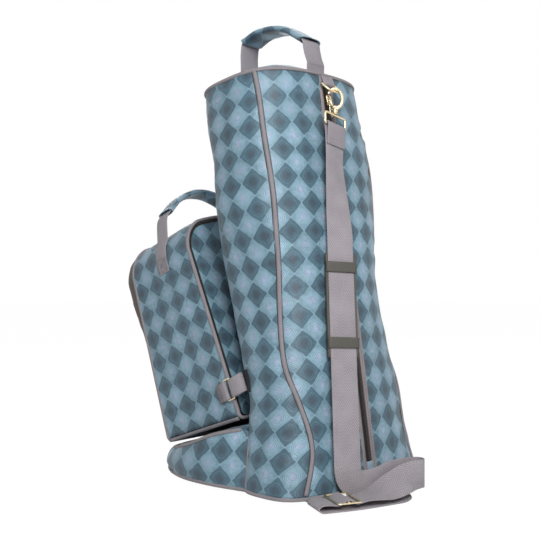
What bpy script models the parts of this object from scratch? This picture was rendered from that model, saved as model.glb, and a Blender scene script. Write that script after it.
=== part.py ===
# Tall boot bag with a front pouch: lofted fabric panels, piped seams, a back zip,
# webbing handles, a shoulder strap with a slide pad, snap hooks and moulded feet.
# Metres, +Z up.  The toe points to -X, the zip runs down the centre of the back (+X).
import math
import bpy
import bmesh
import numpy as np
from mathutils import Matrix, Vector

# Driving sizes
GAP = 0.0004            # clearance between touching pieces
WALL = 0.0024           # padded fabric wall
PIPE_R = 0.0022         # piping radius
SEAM = PIPE_R + GAP     # panel edge to seam line

FOOT_R = 0.0078
FOOT_H = 0.0070
BASE_T = 0.0030         # base board with its cover
BASE_Z = FOOT_H + GAP + BASE_T * 0.5

RIM_Z = 0.5835          # height of the rim at the centre of the back
RIM_BACK_X = 0.0517
BACK_LEAN = 0.1487      # the back runs straight and leans forward by this slope
RIM_TILT = 0.16         # the rings tip forward, square to the leaning shaft
TILT_Z = 0.19           # height at which the full tip is reached
DOME_H = 0.034          # crown of the top panel
DOME_RINGS = 4
# Shaft sections: height, half depth, half width, squareness of the superellipse
SECTIONS = (
    (BASE_Z, 0.0655, 0.1520, 3.2),
    (0.0700, 0.0640, 0.1405, 3.0),
    (0.1350, 0.0610, 0.1305, 2.9),
    (0.2000, 0.0705, 0.1200, 2.9),
    (0.2900, 0.0798, 0.1135, 2.9),
    (0.3800, 0.0770, 0.1260, 2.9),
    (0.4600, 0.0745, 0.1312, 2.9),
    (0.5470, 0.0820, 0.1187, 2.9),
    (RIM_Z, 0.0840, 0.1165, 2.9),
)
# Side seam, angle from the centre of the back at each height
SIDE_SEAM = ((BASE_Z, 47), (0.060, 40), (0.095, 43.5), (0.135, 54), (0.172, 65), (0.205, 68),
             (0.268, 66), (0.334, 59.5), (0.400, 54), (0.450, 54), (0.500, 57.5), (RIM_Z, 63.5))
TOE_ANGLE = 112         # where the toe box meets the quarter
TOE_TOP_Z = 0.101       # ring at which the vamp meets the shaft
TOE_SIDE = ((-0.020, -0.155), (-0.075, -0.155), (-0.125, -0.138), (-0.163, -0.104), (-0.187, -0.055))
TOE_TIP_X = -0.195
TOE_RISE = (0.077, 0.056, 0.041, 0.033, 0.029)
TOE_TIP_Z = 0.028
TOE_INSET = 0.007       # top edge of the toe lies inside its base edge
TOE_BULGE = 0.008

ZIP_W = 0.0155          # zip tape showing between the bindings
ZIP_END_Z = 0.037       # bottom stop
COIL_W = 0.0056
COIL_H = 0.0012
BIND_W = 0.0064         # binding strip along the zip
SLIDER_L, SLIDER_W, SLIDER_H = 0.0150, 0.0110, 0.0036
SLIDER_Z = 0.545
PULL_L, PULL_W, PULL_T = 0.026, 0.0070, 0.0014

WEB_T = 0.0018          # webbing thickness
STRAP_W = 0.038
TAB_W = 0.025
RING_WIRE = 0.0016      # D ring wire radius
RING_SIDE = 0.0040      # straight side of the D before its bow
RING_TIP = 38           # degrees the upper ring stands off the back
TAB_DROP = 0.0150       # D ring bar below the rim
HOOK_WIRE = 0.0022
HOOK_H = 0.0345         # swivel to crest of the hook
HOOK_W = 0.0200
EYE_WIRE = 0.0018
EYE_H = 0.0200

STRAP_OFF = 0.0165      # strap off the back where it hangs straight
STRAP_TURN = 27         # degrees the strap turns towards the side as it hangs
STRAP_TOP_Z = 0.355     # straight run of the strap
STRAP_LOW_Z = 0.070
STRAP_TOP_Y = -0.0275
STRAP_LOW_Y = -0.0660
PAD_L, PAD_W = 0.142, 0.0445
PAD_T = 0.0038
PAD_Z = 0.255
BAND_T = 0.0022
BAND_L = 0.0145         # cross bands of the pad
BAND_IN = 0.012         # band to pad end

HANDLE_BACK_X, HANDLE_FRONT_X = 0.036, -0.098
HANDLE_TOP = 0.655
GRIP_T = 0.010
GRIP_W = 0.044

POUCH_HALF = 0.115
POUCH_BACK_LOW = (-0.0045, 0.0965)
POUCH_BACK_TOP = (-0.1244, 0.3587)
POUCH_FRONT_LOW = (-0.1564, 0.0434)
POUCH_FRONT_TOP = (-0.2519, 0.3149)
POUCH_CROWN = 0.022
POUCH_CORNER = 0.042
POUCH_DOME = 0.020
POUCH_ZIP_W = 0.0050
P_WEB_W = 0.025
P_GRIP_Z = 0.428
CLIP_RISE = 0.042       # side clip above the pouch bottom, along the pouch
CLIP_W = 0.026
CLIP_WIRE = 0.0012
PATCH_T = 0.0015
PATCH_LIFT = 0.0014     # patch off the hollow side of the shaft
ANCHOR_H = 0.0055       # sewn stub under each leg of the top handle
TAPER = 0.0075          # a leg narrows to its hinge over this height
HEEL_RING_Z = 0.0145
HEEL_RING_X = 0.0112    # low ring bar behind the heel


def clear_scene():
    for ob in list(bpy.data.objects):
        bpy.data.objects.remove(ob, do_unlink=True)
    for group in list(bpy.data.collections):
        bpy.data.collections.remove(group)


def collection(name):
    group = bpy.data.collections.new(name)
    bpy.context.scene.collection.children.link(group)
    return group


def material(name, rgb, rough, metal=0.0):
    mat = bpy.data.materials.new(name)
    mat.use_nodes = True
    shader = mat.node_tree.nodes["Principled BSDF"]
    shader.inputs["Base Color"].default_value = (*rgb, 1.0)
    shader.inputs["Roughness"].default_value = rough
    shader.inputs["Metallic"].default_value = metal
    return mat


def smooth(t):
    t = min(max(t, 0.0), 1.0)
    return t * t * (3 - 2 * t)


def spline(points, per=4, closed=False):
    """Catmull-Rom curve through the points, per samples for each span."""
    pts = [Vector(p) for p in points]
    count = len(pts)
    spans = count if closed else count - 1
    out = []
    for i in range(spans):
        if closed:
            a, b, c, d = (pts[(i + k - 1) % count] for k in range(4))
        else:
            b, c = pts[i], pts[i + 1]
            a = pts[i - 1] if i else b + (b - c)
            d = pts[i + 2] if i + 2 < count else c + (c - b)
        for k in range(per):
            t = k / per
            out.append(0.5 * ((2 * b) + (c - a) * t + (2 * a - 5 * b + 4 * c - d) * t * t
                              + (3 * b - a - 3 * c + d) * t ** 3))
    if not closed:
        out.append(pts[-1])
    return out


def hermite(table, z):
    """Smooth reading of a table whose first column is the height."""
    rows = np.array(table, float)
    h = rows[:, 0]
    z = float(min(max(z, h[0]), h[-1]))
    i = int(min(max(np.searchsorted(h, z) - 1, 0), len(h) - 2))

    def slope(k):
        lo, hi = max(k - 1, 0), min(k + 1, len(h) - 1)
        return (rows[hi] - rows[lo]) / (h[hi] - h[lo])

    span = h[i + 1] - h[i]
    t = (z - h[i]) / span
    return ((2 * t ** 3 - 3 * t ** 2 + 1) * rows[i] + (t ** 3 - 2 * t ** 2 + t) * span * slope(i)
            + (3 * t ** 2 - 2 * t ** 3) * rows[i + 1] + (t ** 3 - t ** 2) * span * slope(i + 1))


def back_x(z):
    return RIM_BACK_X + BACK_LEAN * (RIM_Z - z)


def body(z, deg):
    """Outer surface of the shaft: ring height at the back, angle from the centre of the back
    (positive towards -Y)."""
    _, depth, width, power = hermite(SECTIONS, z)
    a = math.radians(deg)
    c, s = math.cos(a), math.sin(a)
    x = depth * math.copysign(abs(c) ** (2 / power), c)
    y = -width * math.copysign(abs(s) ** (2 / power), s)
    tip = RIM_TILT * smooth((z - BASE_Z) / (TILT_Z - BASE_Z))
    return Vector((back_x(z) - depth + x, y, z + tip * (x - depth)))


def step_along(z, deg, run):
    """Angle reached by walking run metres round the ring from deg."""
    sign = 1 if run > 0 else -1
    left = abs(run)
    here = body(z, deg)
    while left > 1e-9:
        step = 0.25
        there = body(z, deg + sign * step)
        d = (there - here).length
        if d >= left:
            return deg + sign * step * left / d
        left -= d
        deg += sign * step
        here = there
    return deg


def back_off(z, off, y=0.0):
    """Point off the back of the shaft at a side shift y, square to the leaning back."""
    base = body(z, step_along(z, 0.0, -y) if y else 0.0)
    n = Vector((1, 0, BACK_LEAN)).normalized()
    return base + n * off


def placed(at, basis):
    return Matrix.Translation(at) @ basis.to_4x4()


class Kit:
    """Keeps the collection and root that every piece goes under."""

    def __init__(self):
        self.parts = collection("boot_bag")
        self.cutters = collection("boot_bag_cutters")
        self.root = bpy.data.objects.new("boot_bag_root", None)
        self.parts.objects.link(self.root)

    def pivot(self, name, at, basis=None):
        ob = bpy.data.objects.new(name, None)
        self.parts.objects.link(ob)
        ob.parent = self.root
        ob.matrix_local = placed(at, basis or Matrix.Identity(3))
        return ob

    def add(self, name, data, mat, at=None, under=None):
        ob = bpy.data.objects.new(name, data)
        self.parts.objects.link(ob)
        ob.parent = under or self.root
        if at is not None:
            ob.location = at
        data.materials.append(mat)
        return ob


def grid_mesh(name, rows, skip=None, closed=False, origin=None):
    """Loft through rows of points; skip(i, j) leaves a cell open."""
    origin = Vector(origin or (0, 0, 0))
    bm = bmesh.new()
    verts = [[bm.verts.new(Vector(p) - origin) for p in row] for row in rows]
    cols = len(rows[0])
    for i in range(len(rows) - 1):
        for j in range(cols if closed else cols - 1):
            if skip and skip(i, j):
                continue
            k = (j + 1) % cols
            bm.faces.new((verts[i][j], verts[i][k], verts[i + 1][k], verts[i + 1][j]))
    loose = [v for v in bm.verts if not v.link_faces]
    bmesh.ops.delete(bm, geom=loose, context="VERTS")
    mesh = bpy.data.meshes.new(name)
    bm.to_mesh(mesh)
    bm.free()
    mesh.shade_smooth()
    return mesh


def solidify(ob, thickness, offset=-1.0):
    mod = ob.modifiers.new("wall", "SOLIDIFY")
    mod.thickness = thickness
    mod.offset = offset
    mod.use_even_offset = False
    return ob


def shell(kit, name, rows, mat, thickness=WALL, skip=None, closed=False, origin=None, under=None,
          offset=-1.0):
    mesh = grid_mesh(name, rows, skip, closed, origin)
    ob = kit.add(name, mesh, mat, origin, under)
    return solidify(ob, thickness, offset)


def capped(kit, name, loop, centre, rings, lift, mat, thickness=WALL, origin=None, under=None,
           offset=-1.0):
    """Panel that fills a closed loop, rising by lift (a vector) to its centre."""
    origin = Vector(origin or (0, 0, 0))
    bm = bmesh.new()
    centre = Vector(centre)
    rows = []
    for r in range(rings):
        f = 1 - r / rings
        rise = lift * math.cos(f * math.pi / 2)
        rows.append([bm.verts.new(centre + (Vector(p) - centre) * f + rise - origin) for p in loop])
    top = bm.verts.new(centre + lift - origin)
    n = len(loop)
    for a, b in zip(rows, rows[1:]):
        for j in range(n):
            k = (j + 1) % n
            bm.faces.new((a[j], a[k], b[k], b[j]))
    for j in range(n):
        bm.faces.new((rows[-1][j], rows[-1][(j + 1) % n], top))
    mesh = bpy.data.meshes.new(name)
    bm.to_mesh(mesh)
    bm.free()
    mesh.shade_smooth()
    ob = kit.add(name, mesh, mat, origin, under)
    return solidify(ob, thickness, offset)


def tube(kit, name, points, radius, mat, closed=False, sides=1, origin=None, under=None, radii=None):
    """Wire, piping or cord: a POLY curve with a round bevel and filled ends."""
    origin = Vector(origin or (0, 0, 0))
    data = bpy.data.curves.new(name, "CURVE")
    data.dimensions = "3D"
    data.bevel_depth = radius
    data.bevel_resolution = sides
    data.use_fill_caps = True
    line = data.splines.new("POLY")
    line.points.add(len(points) - 1)
    for i, (slot, p) in enumerate(zip(line.points, points)):
        slot.co = (*(Vector(p) - origin), 1.0)
        slot.radius = radii[i] if radii else 1.0
    line.use_cyclic_u = closed
    return kit.add(name, data, mat, origin, under)


def ribbon(kit, name, stations, mat, thickness=WEB_T, origin=None, under=None):
    """Flat webbing: stations are (point, width direction, width)."""
    rows = []
    for p, w, width in stations:
        half = Vector(w).normalized() * width * 0.5
        rows.append((Vector(p) - half, Vector(p) + half))
    return shell(kit, name, rows, mat, thickness, origin=origin, under=under, offset=0.0)


def route(controls, width, per=4):
    """Smooth stations through (point, width direction) controls."""
    pts = spline([c[0] for c in controls], per)
    dirs = spline([c[1] for c in controls], per)
    out = []
    for i, (p, w) in enumerate(zip(pts, dirs)):
        t = (pts[min(i + 1, len(pts) - 1)] - pts[max(i - 1, 0)]).normalized()
        w = (w - t * w.dot(t)).normalized()
        out.append((p, w, width))
    return out


def box(kit, name, size, basis, at, mat, bevel=0.0, under=None):
    bm = bmesh.new()
    bmesh.ops.create_cube(bm, size=1.0)
    bmesh.ops.scale(bm, vec=Vector(size), verts=bm.verts)
    mesh = bpy.data.meshes.new(name)
    bm.to_mesh(mesh)
    bm.free()
    ob = kit.add(name, mesh, mat, under=under)
    ob.matrix_local = Matrix.Translation(at) @ basis.to_4x4()
    if bevel:
        mod = ob.modifiers.new("edge", "BEVEL")
        mod.width = bevel
        mod.segments = 2
    return ob


def frame_of(x_dir, z_dir):
    """Rotation whose columns are x_dir, z cross x and z_dir."""
    z = Vector(z_dir).normalized()
    x = Vector(x_dir)
    x = (x - z * x.dot(z)).normalized()
    y = z.cross(x)
    return Matrix((x, y, z)).transposed()


def cut(kit, ob, name, size, basis, at):
    tool = box(kit, name, size, basis, at, ob.data.materials[0])
    kit.parts.objects.unlink(tool)
    kit.cutters.objects.link(tool)
    tool.hide_render = True
    tool.display_type = "WIRE"
    mod = ob.modifiers.new(name, "BOOLEAN")
    mod.operation = "DIFFERENCE"
    mod.solver = "EXACT"
    mod.object = tool


def solid_loft(kit, name, sections, mat, origin=None, under=None):
    """Closed solid through closed sections, capped at both ends."""
    origin = Vector(origin or (0, 0, 0))
    bm = bmesh.new()
    rows = [[bm.verts.new(Vector(p) - origin) for p in ring] for ring in sections]
    n = len(rows[0])
    for a, b in zip(rows, rows[1:]):
        for j in range(n):
            k = (j + 1) % n
            bm.faces.new((a[j], a[k], b[k], b[j]))
    bm.faces.new(list(reversed(rows[0])))
    bm.faces.new(rows[-1])
    bmesh.ops.recalc_face_normals(bm, faces=bm.faces)
    mesh = bpy.data.meshes.new(name)
    bm.to_mesh(mesh)
    bm.free()
    mesh.shade_smooth()
    return kit.add(name, mesh, mat, origin, under)


def plate(kit, name, outlines, thickness, basis, at, mat, under=None):
    """Flat pressing: closed outlines (the first outside, the rest holes) given a thickness."""
    data = bpy.data.curves.new(name, "CURVE")
    data.dimensions = "2D"
    data.fill_mode = "BOTH"
    data.extrude = thickness * 0.5
    for outline in outlines:
        line = data.splines.new("POLY")
        line.points.add(len(outline) - 1)
        for slot, p in zip(line.points, outline):
            slot.co = (p[0], p[1], 0.0, 1.0)
        line.use_cyclic_u = True
    ob = kit.add(name, data, mat, under=under)
    ob.matrix_local = Matrix.Translation(at) @ basis.to_4x4()
    return ob


def round_rect(w, h, r, cx=0.0, cy=0.0, per=3):
    out = []
    for k, (sx, sy) in enumerate(((1, 1), (-1, 1), (-1, -1), (1, -1))):
        for i in range(per + 1):
            a = math.pi / 2 * (k + i / per)
            out.append((cx + sx * (w / 2 - r) + r * math.cos(a), cy + sy * (h / 2 - r) + r * math.sin(a)))
    return out


def seam_deg(z):
    return float(hermite(SIDE_SEAM, z)[1])


def body_off(z, deg, off):
    """Shaft surface moved out along its own normal."""
    e = 0.5
    around = body(z, deg + e) - body(z, deg - e)
    up = body(min(z + 0.002, RIM_Z), deg) - body(max(z - 0.002, BASE_Z), deg)
    return body(z, deg) + up.cross(around).normalized() * off


def deg_at_x(z, x, side):
    """Angle on one side of the ring at which it reaches depth x."""
    lo, hi = 30.0, 170.0
    for _ in range(40):
        mid = (lo + hi) / 2
        if body(z, mid).x > x:
            lo = mid
        else:
            hi = mid
    return side * lo


# Shaft and foot

LOW, HIGH = BASE_Z + SEAM, RIM_Z - SEAM
TOE_ROWS = 4
HEIGHTS = [float(z) for z in np.linspace(LOW, TOE_TOP_Z, TOE_ROWS)] + [
    float(z) for z in np.linspace(TOE_TOP_Z, HIGH, 14)[1:]]
TOE_COLS = 20
SIDE_COLS = 7
TOE_SPLIT = 0.0014      # sewn seam between quarter and toe wall


def front_panel(kit, mat):
    rows = []
    for z in HEIGHTS:
        start = step_along(z, seam_deg(z), SEAM)
        side = list(np.linspace(start, TOE_ANGLE, SIDE_COLS + 1))
        front = list(np.linspace(TOE_ANGLE, 360 - TOE_ANGLE, TOE_COLS + 1))[1:]
        far = [360 - a for a in reversed(side)][1:]
        rows.append([body(z, float(a)) for a in reversed(side + front + far)])

    def toe_mouth(i, j):
        return i < TOE_ROWS - 1 and SIDE_COLS <= j < SIDE_COLS + TOE_COLS

    shell(kit, "front_panel", rows, mat, skip=toe_mouth)


def strip_between(z_list, near_deg, far_deg, cols):
    """Rows between two angle functions, laid so that the outside faces out."""
    rows = []
    for z in z_list:
        a, b = near_deg(z), far_deg(z)
        rows.append([body(z, float(t)) for t in np.linspace(max(a, b), min(a, b), cols + 1)])
    return rows


def back_panels(kit, mat, grey):
    edge = ZIP_W / 2 + GAP
    for name, side in (("near", 1), ("far", -1)):
        inner = lambda z: side * step_along(z, 0.0, edge + BIND_W + GAP)
        outer = lambda z: side * step_along(z, seam_deg(z), -SEAM)
        shell(kit, "back_panel_" + name, strip_between(HEIGHTS, inner, outer, 7), mat)
        one = lambda z: side * step_along(z, 0.0, edge)
        two = lambda z: side * step_along(z, 0.0, edge + BIND_W)
        shell(kit, "zip_binding_" + name, strip_between(HEIGHTS, one, two, 1), grey)


def zip_chain(kit, black):
    sink = 0.0006
    rows = []
    for z in np.linspace(ZIP_END_Z, HIGH, 14):
        row = []
        for s, lift in ((1, 0), (COIL_W / ZIP_W + 0.04, 0), (COIL_W / ZIP_W, 1),
                        (-COIL_W / ZIP_W, 1), (-COIL_W / ZIP_W - 0.04, 0), (-1, 0)):
            run = s * ZIP_W / 2
            deg = math.copysign(step_along(float(z), 0.0, abs(run)), run)
            row.append(body_off(float(z), deg, lift * COIL_H - sink))
        rows.append(row)
    shell(kit, "zip_chain", rows, black, 0.0012)


def zip_garage(kit, mat):
    low = [LOW, (LOW + ZIP_END_Z) / 2, ZIP_END_Z - GAP]
    near = lambda z: step_along(z, 0.0, ZIP_W / 2)
    shell(kit, "zip_garage", strip_between(low, near, lambda z: -near(z), 2), mat)


def up_back():
    return Vector((-BACK_LEAN, 0, 1)).normalized()


def out_back():
    return Vector((1, 0, BACK_LEAN)).normalized()


def zip_runner(kit, metal):
    basis = frame_of((0, 1, 0), out_back())
    seat = COIL_H - 0.0006 + GAP
    at = back_off(SLIDER_Z, seat + SLIDER_H / 2)
    pivot = kit.pivot("zip_slider_axis", at, basis)
    half = ((SLIDER_W * 0.5, SLIDER_L * 0.5), (-SLIDER_W * 0.5, SLIDER_L * 0.5),
            (-SLIDER_W * 0.36, -SLIDER_L * 0.5), (SLIDER_W * 0.36, -SLIDER_L * 0.5))
    plate(kit, "zip_slider", [half], SLIDER_H, Matrix.Identity(3), (0, 0, 0), metal, pivot)
    hinge = Vector((0, 0, SLIDER_H / 2 + GAP + PULL_T / 2))
    pull_axis = bpy.data.objects.new("zip_pull_axis", None)
    kit.parts.objects.link(pull_axis)
    pull_axis.parent = pivot
    pull_axis.location = hinge
    outer = round_rect(PULL_W, PULL_L, PULL_W * 0.3, 0, -PULL_L / 2 + PULL_W * 0.3)
    hole = list(reversed(round_rect(PULL_W * 0.5, PULL_L * 0.42, PULL_W * 0.2, 0, -PULL_L * 0.62)))
    plate(kit, "zip_pull", [outer, hole], PULL_T, Matrix.Identity(3), (0, 0, 0), metal, pull_axis)


def rim_loop(inset=0.0, count=56):
    ring = [body(RIM_Z, -360 * k / count) for k in range(count)]
    mid = sum(ring, Vector()) / count
    return [p + (mid - p).normalized() * inset for p in ring], mid


def rim_axis():
    return Vector((-RIM_TILT, 0, 1)).normalized()


def toe_curves():
    """Base edge and top edge of the toe wall, from the near seam round to the far one."""
    z_top = TOE_TOP_Z - 2 * SEAM
    first = body(BASE_Z, step_along(BASE_Z, TOE_ANGLE, TOE_SPLIT))
    last = body(z_top, step_along(z_top, TOE_ANGLE, TOE_SPLIT))
    low = [first] + [Vector((x, y, BASE_Z)) for x, y in TOE_SIDE] + [Vector((TOE_TIP_X, 0, BASE_Z))]
    top = [last]
    for (x, y), z in zip(TOE_SIDE, TOE_RISE):
        flat = Vector((x, y, 0))
        inward = Vector((-x * 0.5, -y, 0)).normalized()
        top.append(flat + inward * TOE_INSET + Vector((0, 0, z)))
    top.append(Vector((TOE_TIP_X + TOE_INSET, 0, TOE_TIP_Z)))
    mirror = lambda pts: pts + [Vector((p.x, -p.y, p.z)) for p in reversed(pts[:-1])]
    return spline(mirror(low), 3), spline(mirror(top), 3)


def base_loop():
    low, _ = toe_curves()
    near = [body(BASE_Z, a) for a in np.linspace(0, TOE_ANGLE, 20)[:-1]]
    far = [Vector((p.x, -p.y, p.z)) for p in reversed(near[1:])]
    return [*near, *low, *far]


def toe_box(kit, mat):
    low, top = toe_curves()
    n = len(low)
    rows = []
    for f in (0.0, 0.33, 0.67, 1.0):
        row = []
        for j in range(n):
            a = low[j] + Vector((0, 0, SEAM))
            b = top[j] - Vector((0, 0, SEAM))
            along = low[min(j + 1, n - 1)] - low[max(j - 1, 0)]
            out = Vector((along.y, -along.x, 0)).normalized()
            swell = TOE_BULGE * math.sin(math.pi * f) * smooth(min(j, n - 1 - j) / 5)
            p = a.lerp(b, f) - out * swell
            if j in (0, n - 1):
                side = 1 if j == 0 else -1
                p = body(p.z, side * step_along(p.z, TOE_ANGLE, TOE_SPLIT))
            row.append(p)
        rows.append(list(reversed(row)))
    shell(kit, "toe_wall", rows, mat)
    trim = 2
    inner = [body_off(TOE_TOP_Z, TOE_ANGLE + (360 - 2 * TOE_ANGLE) * j / (n - 1), 0.0) for j in range(n)]
    rows = []
    for f in (0.0, 0.3, 0.65, 1.0):
        row = []
        for j in range(trim, n - trim):
            a, b = top[j], inner[j] - Vector((0, 0, 3 * GAP))
            along = (top[j + 1] - top[j - 1]).normalized()
            across = (b - a) - along * (b - a).dot(along)
            edge = a + across.normalized() * SEAM
            row.append(edge.lerp(b, f))
        rows.append(list(reversed(row)))
    shell(kit, "toe_top", rows, mat)
    return low, top


def piping(kit, grey):
    rim, _ = rim_loop()
    tube(kit, "rim_piping", rim, PIPE_R, grey, closed=True)
    tube(kit, "base_piping", base_loop(), PIPE_R, grey, closed=True)
    for name, side in (("near", 1), ("far", -1)):
        line = [body(z, side * seam_deg(z)) for z in HEIGHTS]
        line[0] += (line[1] - line[0]).normalized() * 2 * PIPE_R
        line[-1] += (line[-2] - line[-1]).normalized() * 2 * PIPE_R
        tube(kit, "side_piping_" + name, line, PIPE_R, grey)
    _, top = toe_curves()
    tube(kit, "toe_piping", top[1:-1], PIPE_R, grey)


def inset_loop(loop, inset):
    out = []
    n = len(loop)
    for j, p in enumerate(loop):
        along = loop[(j + 1) % n] - loop[j - 1]
        side = Vector((along.y, -along.x, 0)).normalized()
        out.append(p + side * inset)
    return out


def top_and_base(kit, mat, dark):
    loop, mid = rim_loop(SEAM)
    capped(kit, "top_panel", loop, mid, DOME_RINGS, rim_axis() * DOME_H, mat)
    under = inset_loop(base_loop(), SEAM)
    centre = Vector((0.02, 0, BASE_Z))
    capped(kit, "base_board", list(reversed(under)), centre, 1, Vector((0, 0, 0)), dark, BASE_T, offset=0.0)


def feet(kit, black):
    bm = bmesh.new()
    bmesh.ops.create_cone(bm, cap_ends=True, segments=16, radius1=FOOT_R * 0.92, radius2=FOOT_R,
                          depth=FOOT_H)
    mesh = bpy.data.meshes.new("foot")
    bm.to_mesh(mesh)
    bm.free()
    mesh.materials.append(black)
    for name, x, y in (("heel_near", 0.110, -0.102), ("heel_far", 0.110, 0.102),
                       ("toe_near", -0.112, -0.085), ("toe_far", -0.112, 0.085)):
        ob = bpy.data.objects.new("foot_" + name, mesh)
        kit.parts.objects.link(ob)
        ob.parent = kit.root
        ob.location = (x, y, FOOT_H / 2)


# Top handle

def dome_point(x):
    """Outer surface of the top panel on the centre line at depth x."""
    _, mid = rim_loop()
    end = body(RIM_Z, 0 if x > mid.x else 180)
    lift = rim_axis() * DOME_H
    ring = lambda k: mid + (end - mid) * (k / DOME_RINGS) + lift * math.cos(k / DOME_RINGS * math.pi / 2)
    lo, hi = 0.0, 1.0
    for _ in range(40):
        f = (lo + hi) / 2
        k = min(int(f * DOME_RINGS), DOME_RINGS - 1)
        p = ring(k).lerp(ring(k + 1), f * DOME_RINGS - k)
        if abs(p.x - mid.x) < abs(x - mid.x):
            lo = f
        else:
            hi = f
    return p


def leg(kit, name, path, side, width, mat, origin, under, narrow_first=True):
    """Webbing leg: the end at the hinge narrows so that it clears its sewn stub."""
    stations = [(p, side, width) for p in path]
    if narrow_first:
        stations[0] = (path[0], side, width * 0.04)
    ribbon(kit, name, stations, mat, origin=origin, under=under)


def sleeve(kit, name, path, side, width, thick, mat, origin, under):
    """Padded grip round the webbing line."""
    side = Vector(side).normalized()
    rings = []
    last = len(path) - 1
    for i, p in enumerate(path):
        t = (path[min(i + 1, last)] - path[max(i - 1, 0)]).normalized()
        w = (side - t * side.dot(t)).normalized()
        n = t.cross(w)
        size = 0.82 if i in (0, last) else 1.0
        ring = []
        for k in range(14):
            a = 2 * math.pi * k / 14
            c, q = math.cos(a), math.sin(a)
            ring.append(p + w * math.copysign(abs(c) ** 0.7, c) * width * 0.5 * size
                        + n * math.copysign(abs(q) ** 0.8, q) * thick * 0.5 * size)
        rings.append(ring)
    solid_loft(kit, name, rings, mat, origin, under)


def top_handle(kit, web, cloth):
    side = Vector((0, 1, 0))
    feet_at = []
    for name, x in (("front", HANDLE_FRONT_X), ("back", HANDLE_BACK_X)):
        base = dome_point(x) + Vector((0, 0, 0.4 * GAP))
        tip = base + Vector((0, 0, ANCHOR_H))
        ribbon(kit, "handle_anchor_" + name, [(base, side, STRAP_W), (tip, side, STRAP_W)], web)
        feet_at.append(tip)
    front, back = feet_at
    basis = frame_of(back - front, (back - front).cross(side))
    axis = kit.pivot("top_handle_axis", front, basis)
    turn = placed(front, basis).inverted()
    rise = Vector((0, 0, GAP))
    arch = lambda x, drop: Vector((x, 0, HANDLE_TOP - drop))
    x0, x1 = HANDLE_FRONT_X, HANDLE_BACK_X
    span = x1 - x0
    bend = [front + rise + Vector((-0.0005, 0, TAPER)), arch(x0 - 0.0025, 0.045), arch(x0 - 0.0030, 0.0240),
            arch(x0 + 0.0035, 0.0085)]
    grip = [arch(x0 + 0.0044, 0.0078), arch(x0 + 0.28 * span, -0.0005), arch(x0 + 0.62 * span, 0.0030),
            arch(x1 - 0.0087, 0.0185)]
    fall = [back + rise + Vector((0.0007, 0, TAPER)), arch(x1 + 0.0040, 0.0430), arch(x1 + 0.0050, 0.0325),
            arch(x1 - 0.0083, 0.0188)]
    local = lambda pts: [turn @ p for p in pts]
    y = turn.to_3x3() @ side
    leg(kit, "handle_leg_front", local([front + rise] + spline(bend, 3)), y, STRAP_W, web, None, axis)
    leg(kit, "handle_leg_back", local([back + rise] + spline(fall, 3)), y, STRAP_W, web, None, axis)
    sleeve(kit, "handle_grip", local(spline(grip, 4)), y, GRIP_W, GRIP_T, cloth, None, axis)


# Ring, hook and strap

def arc(centre, a_dir, b_dir, radius, start, stop, count):
    """Points on a circle through two square directions, angles in degrees."""
    out = []
    for d in np.linspace(start, stop, count):
        t = math.radians(float(d))
        out.append(centre + a_dir * radius * math.cos(t) + b_dir * radius * math.sin(t))
    return out


def rect_ring(kit, name, bar_a, bar_b, along, half, wire, mat, under=None):
    """Bent wire rectangle with a bar at each of two centres."""
    along = Vector(along).normalized()
    down = (bar_b - bar_a).normalized()
    r = wire * 1.5
    pts = []
    for at, s, a0 in ((bar_a, 1, 270), (bar_b, 1, 0), (bar_b, -1, 90), (bar_a, -1, 180)):
        inward = down if at is bar_a else -down
        centre = at + along * s * (half - r) + inward * r
        pts += arc(centre, along, down, r, a0, a0 + 90, 3)
    return tube(kit, name, pts, wire, mat, closed=True, sides=2, under=under)


def fold(centre, inner, beyond, r, count=5):
    """Half turn of webbing round a bar: from the inner side, past the bar, to the outer side."""
    return arc(centre, inner, beyond, r, 0, 180, count)


def ring_and_tab(kit, web, metal):
    n, up, y = out_back(), up_back(), Vector((0, 1, 0))
    r = RING_WIRE + GAP + WEB_T / 2
    inner = COIL_H - 0.0006 + GAP + WEB_T / 2
    bar = back_off(RIM_Z - TAB_DROP, inner + r)
    rise = (TAB_DROP - PIPE_R - 3 * GAP) / up.z
    path = [bar - n * r + up * rise] + fold(bar, -n, -up, r) + [
        bar + n * (WEB_T + GAP - r) + up * rise]
    ribbon(kit, "ring_tab_top", [(p, y, TAB_W) for p in path], web)
    half = TAB_W / 2 + RING_WIRE + GAP
    tip = math.radians(RING_TIP)
    bow = (-up * math.cos(tip) + n * math.sin(tip)).normalized()
    basis = frame_of(y, y.cross(bow))
    axis = kit.pivot("d_ring_top_axis", bar, basis)
    bend = RING_WIRE * 1.25
    pts = arc(Vector((half - bend, bend, 0)), Vector((1, 0, 0)), Vector((0, 1, 0)), bend, 270, 360, 3)
    pts += arc(Vector((0, RING_SIDE, 0)), Vector((1, 0, 0)), Vector((0, 1, 0)), half, 0, 180, 13)
    pts += arc(Vector((bend - half, bend, 0)), Vector((1, 0, 0)), Vector((0, 1, 0)), bend, 180, 270, 3)
    tube(kit, "d_ring_top", pts, RING_WIRE, metal, closed=True, sides=2, under=axis)
    return bar + bow * (RING_SIDE + half)


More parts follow.
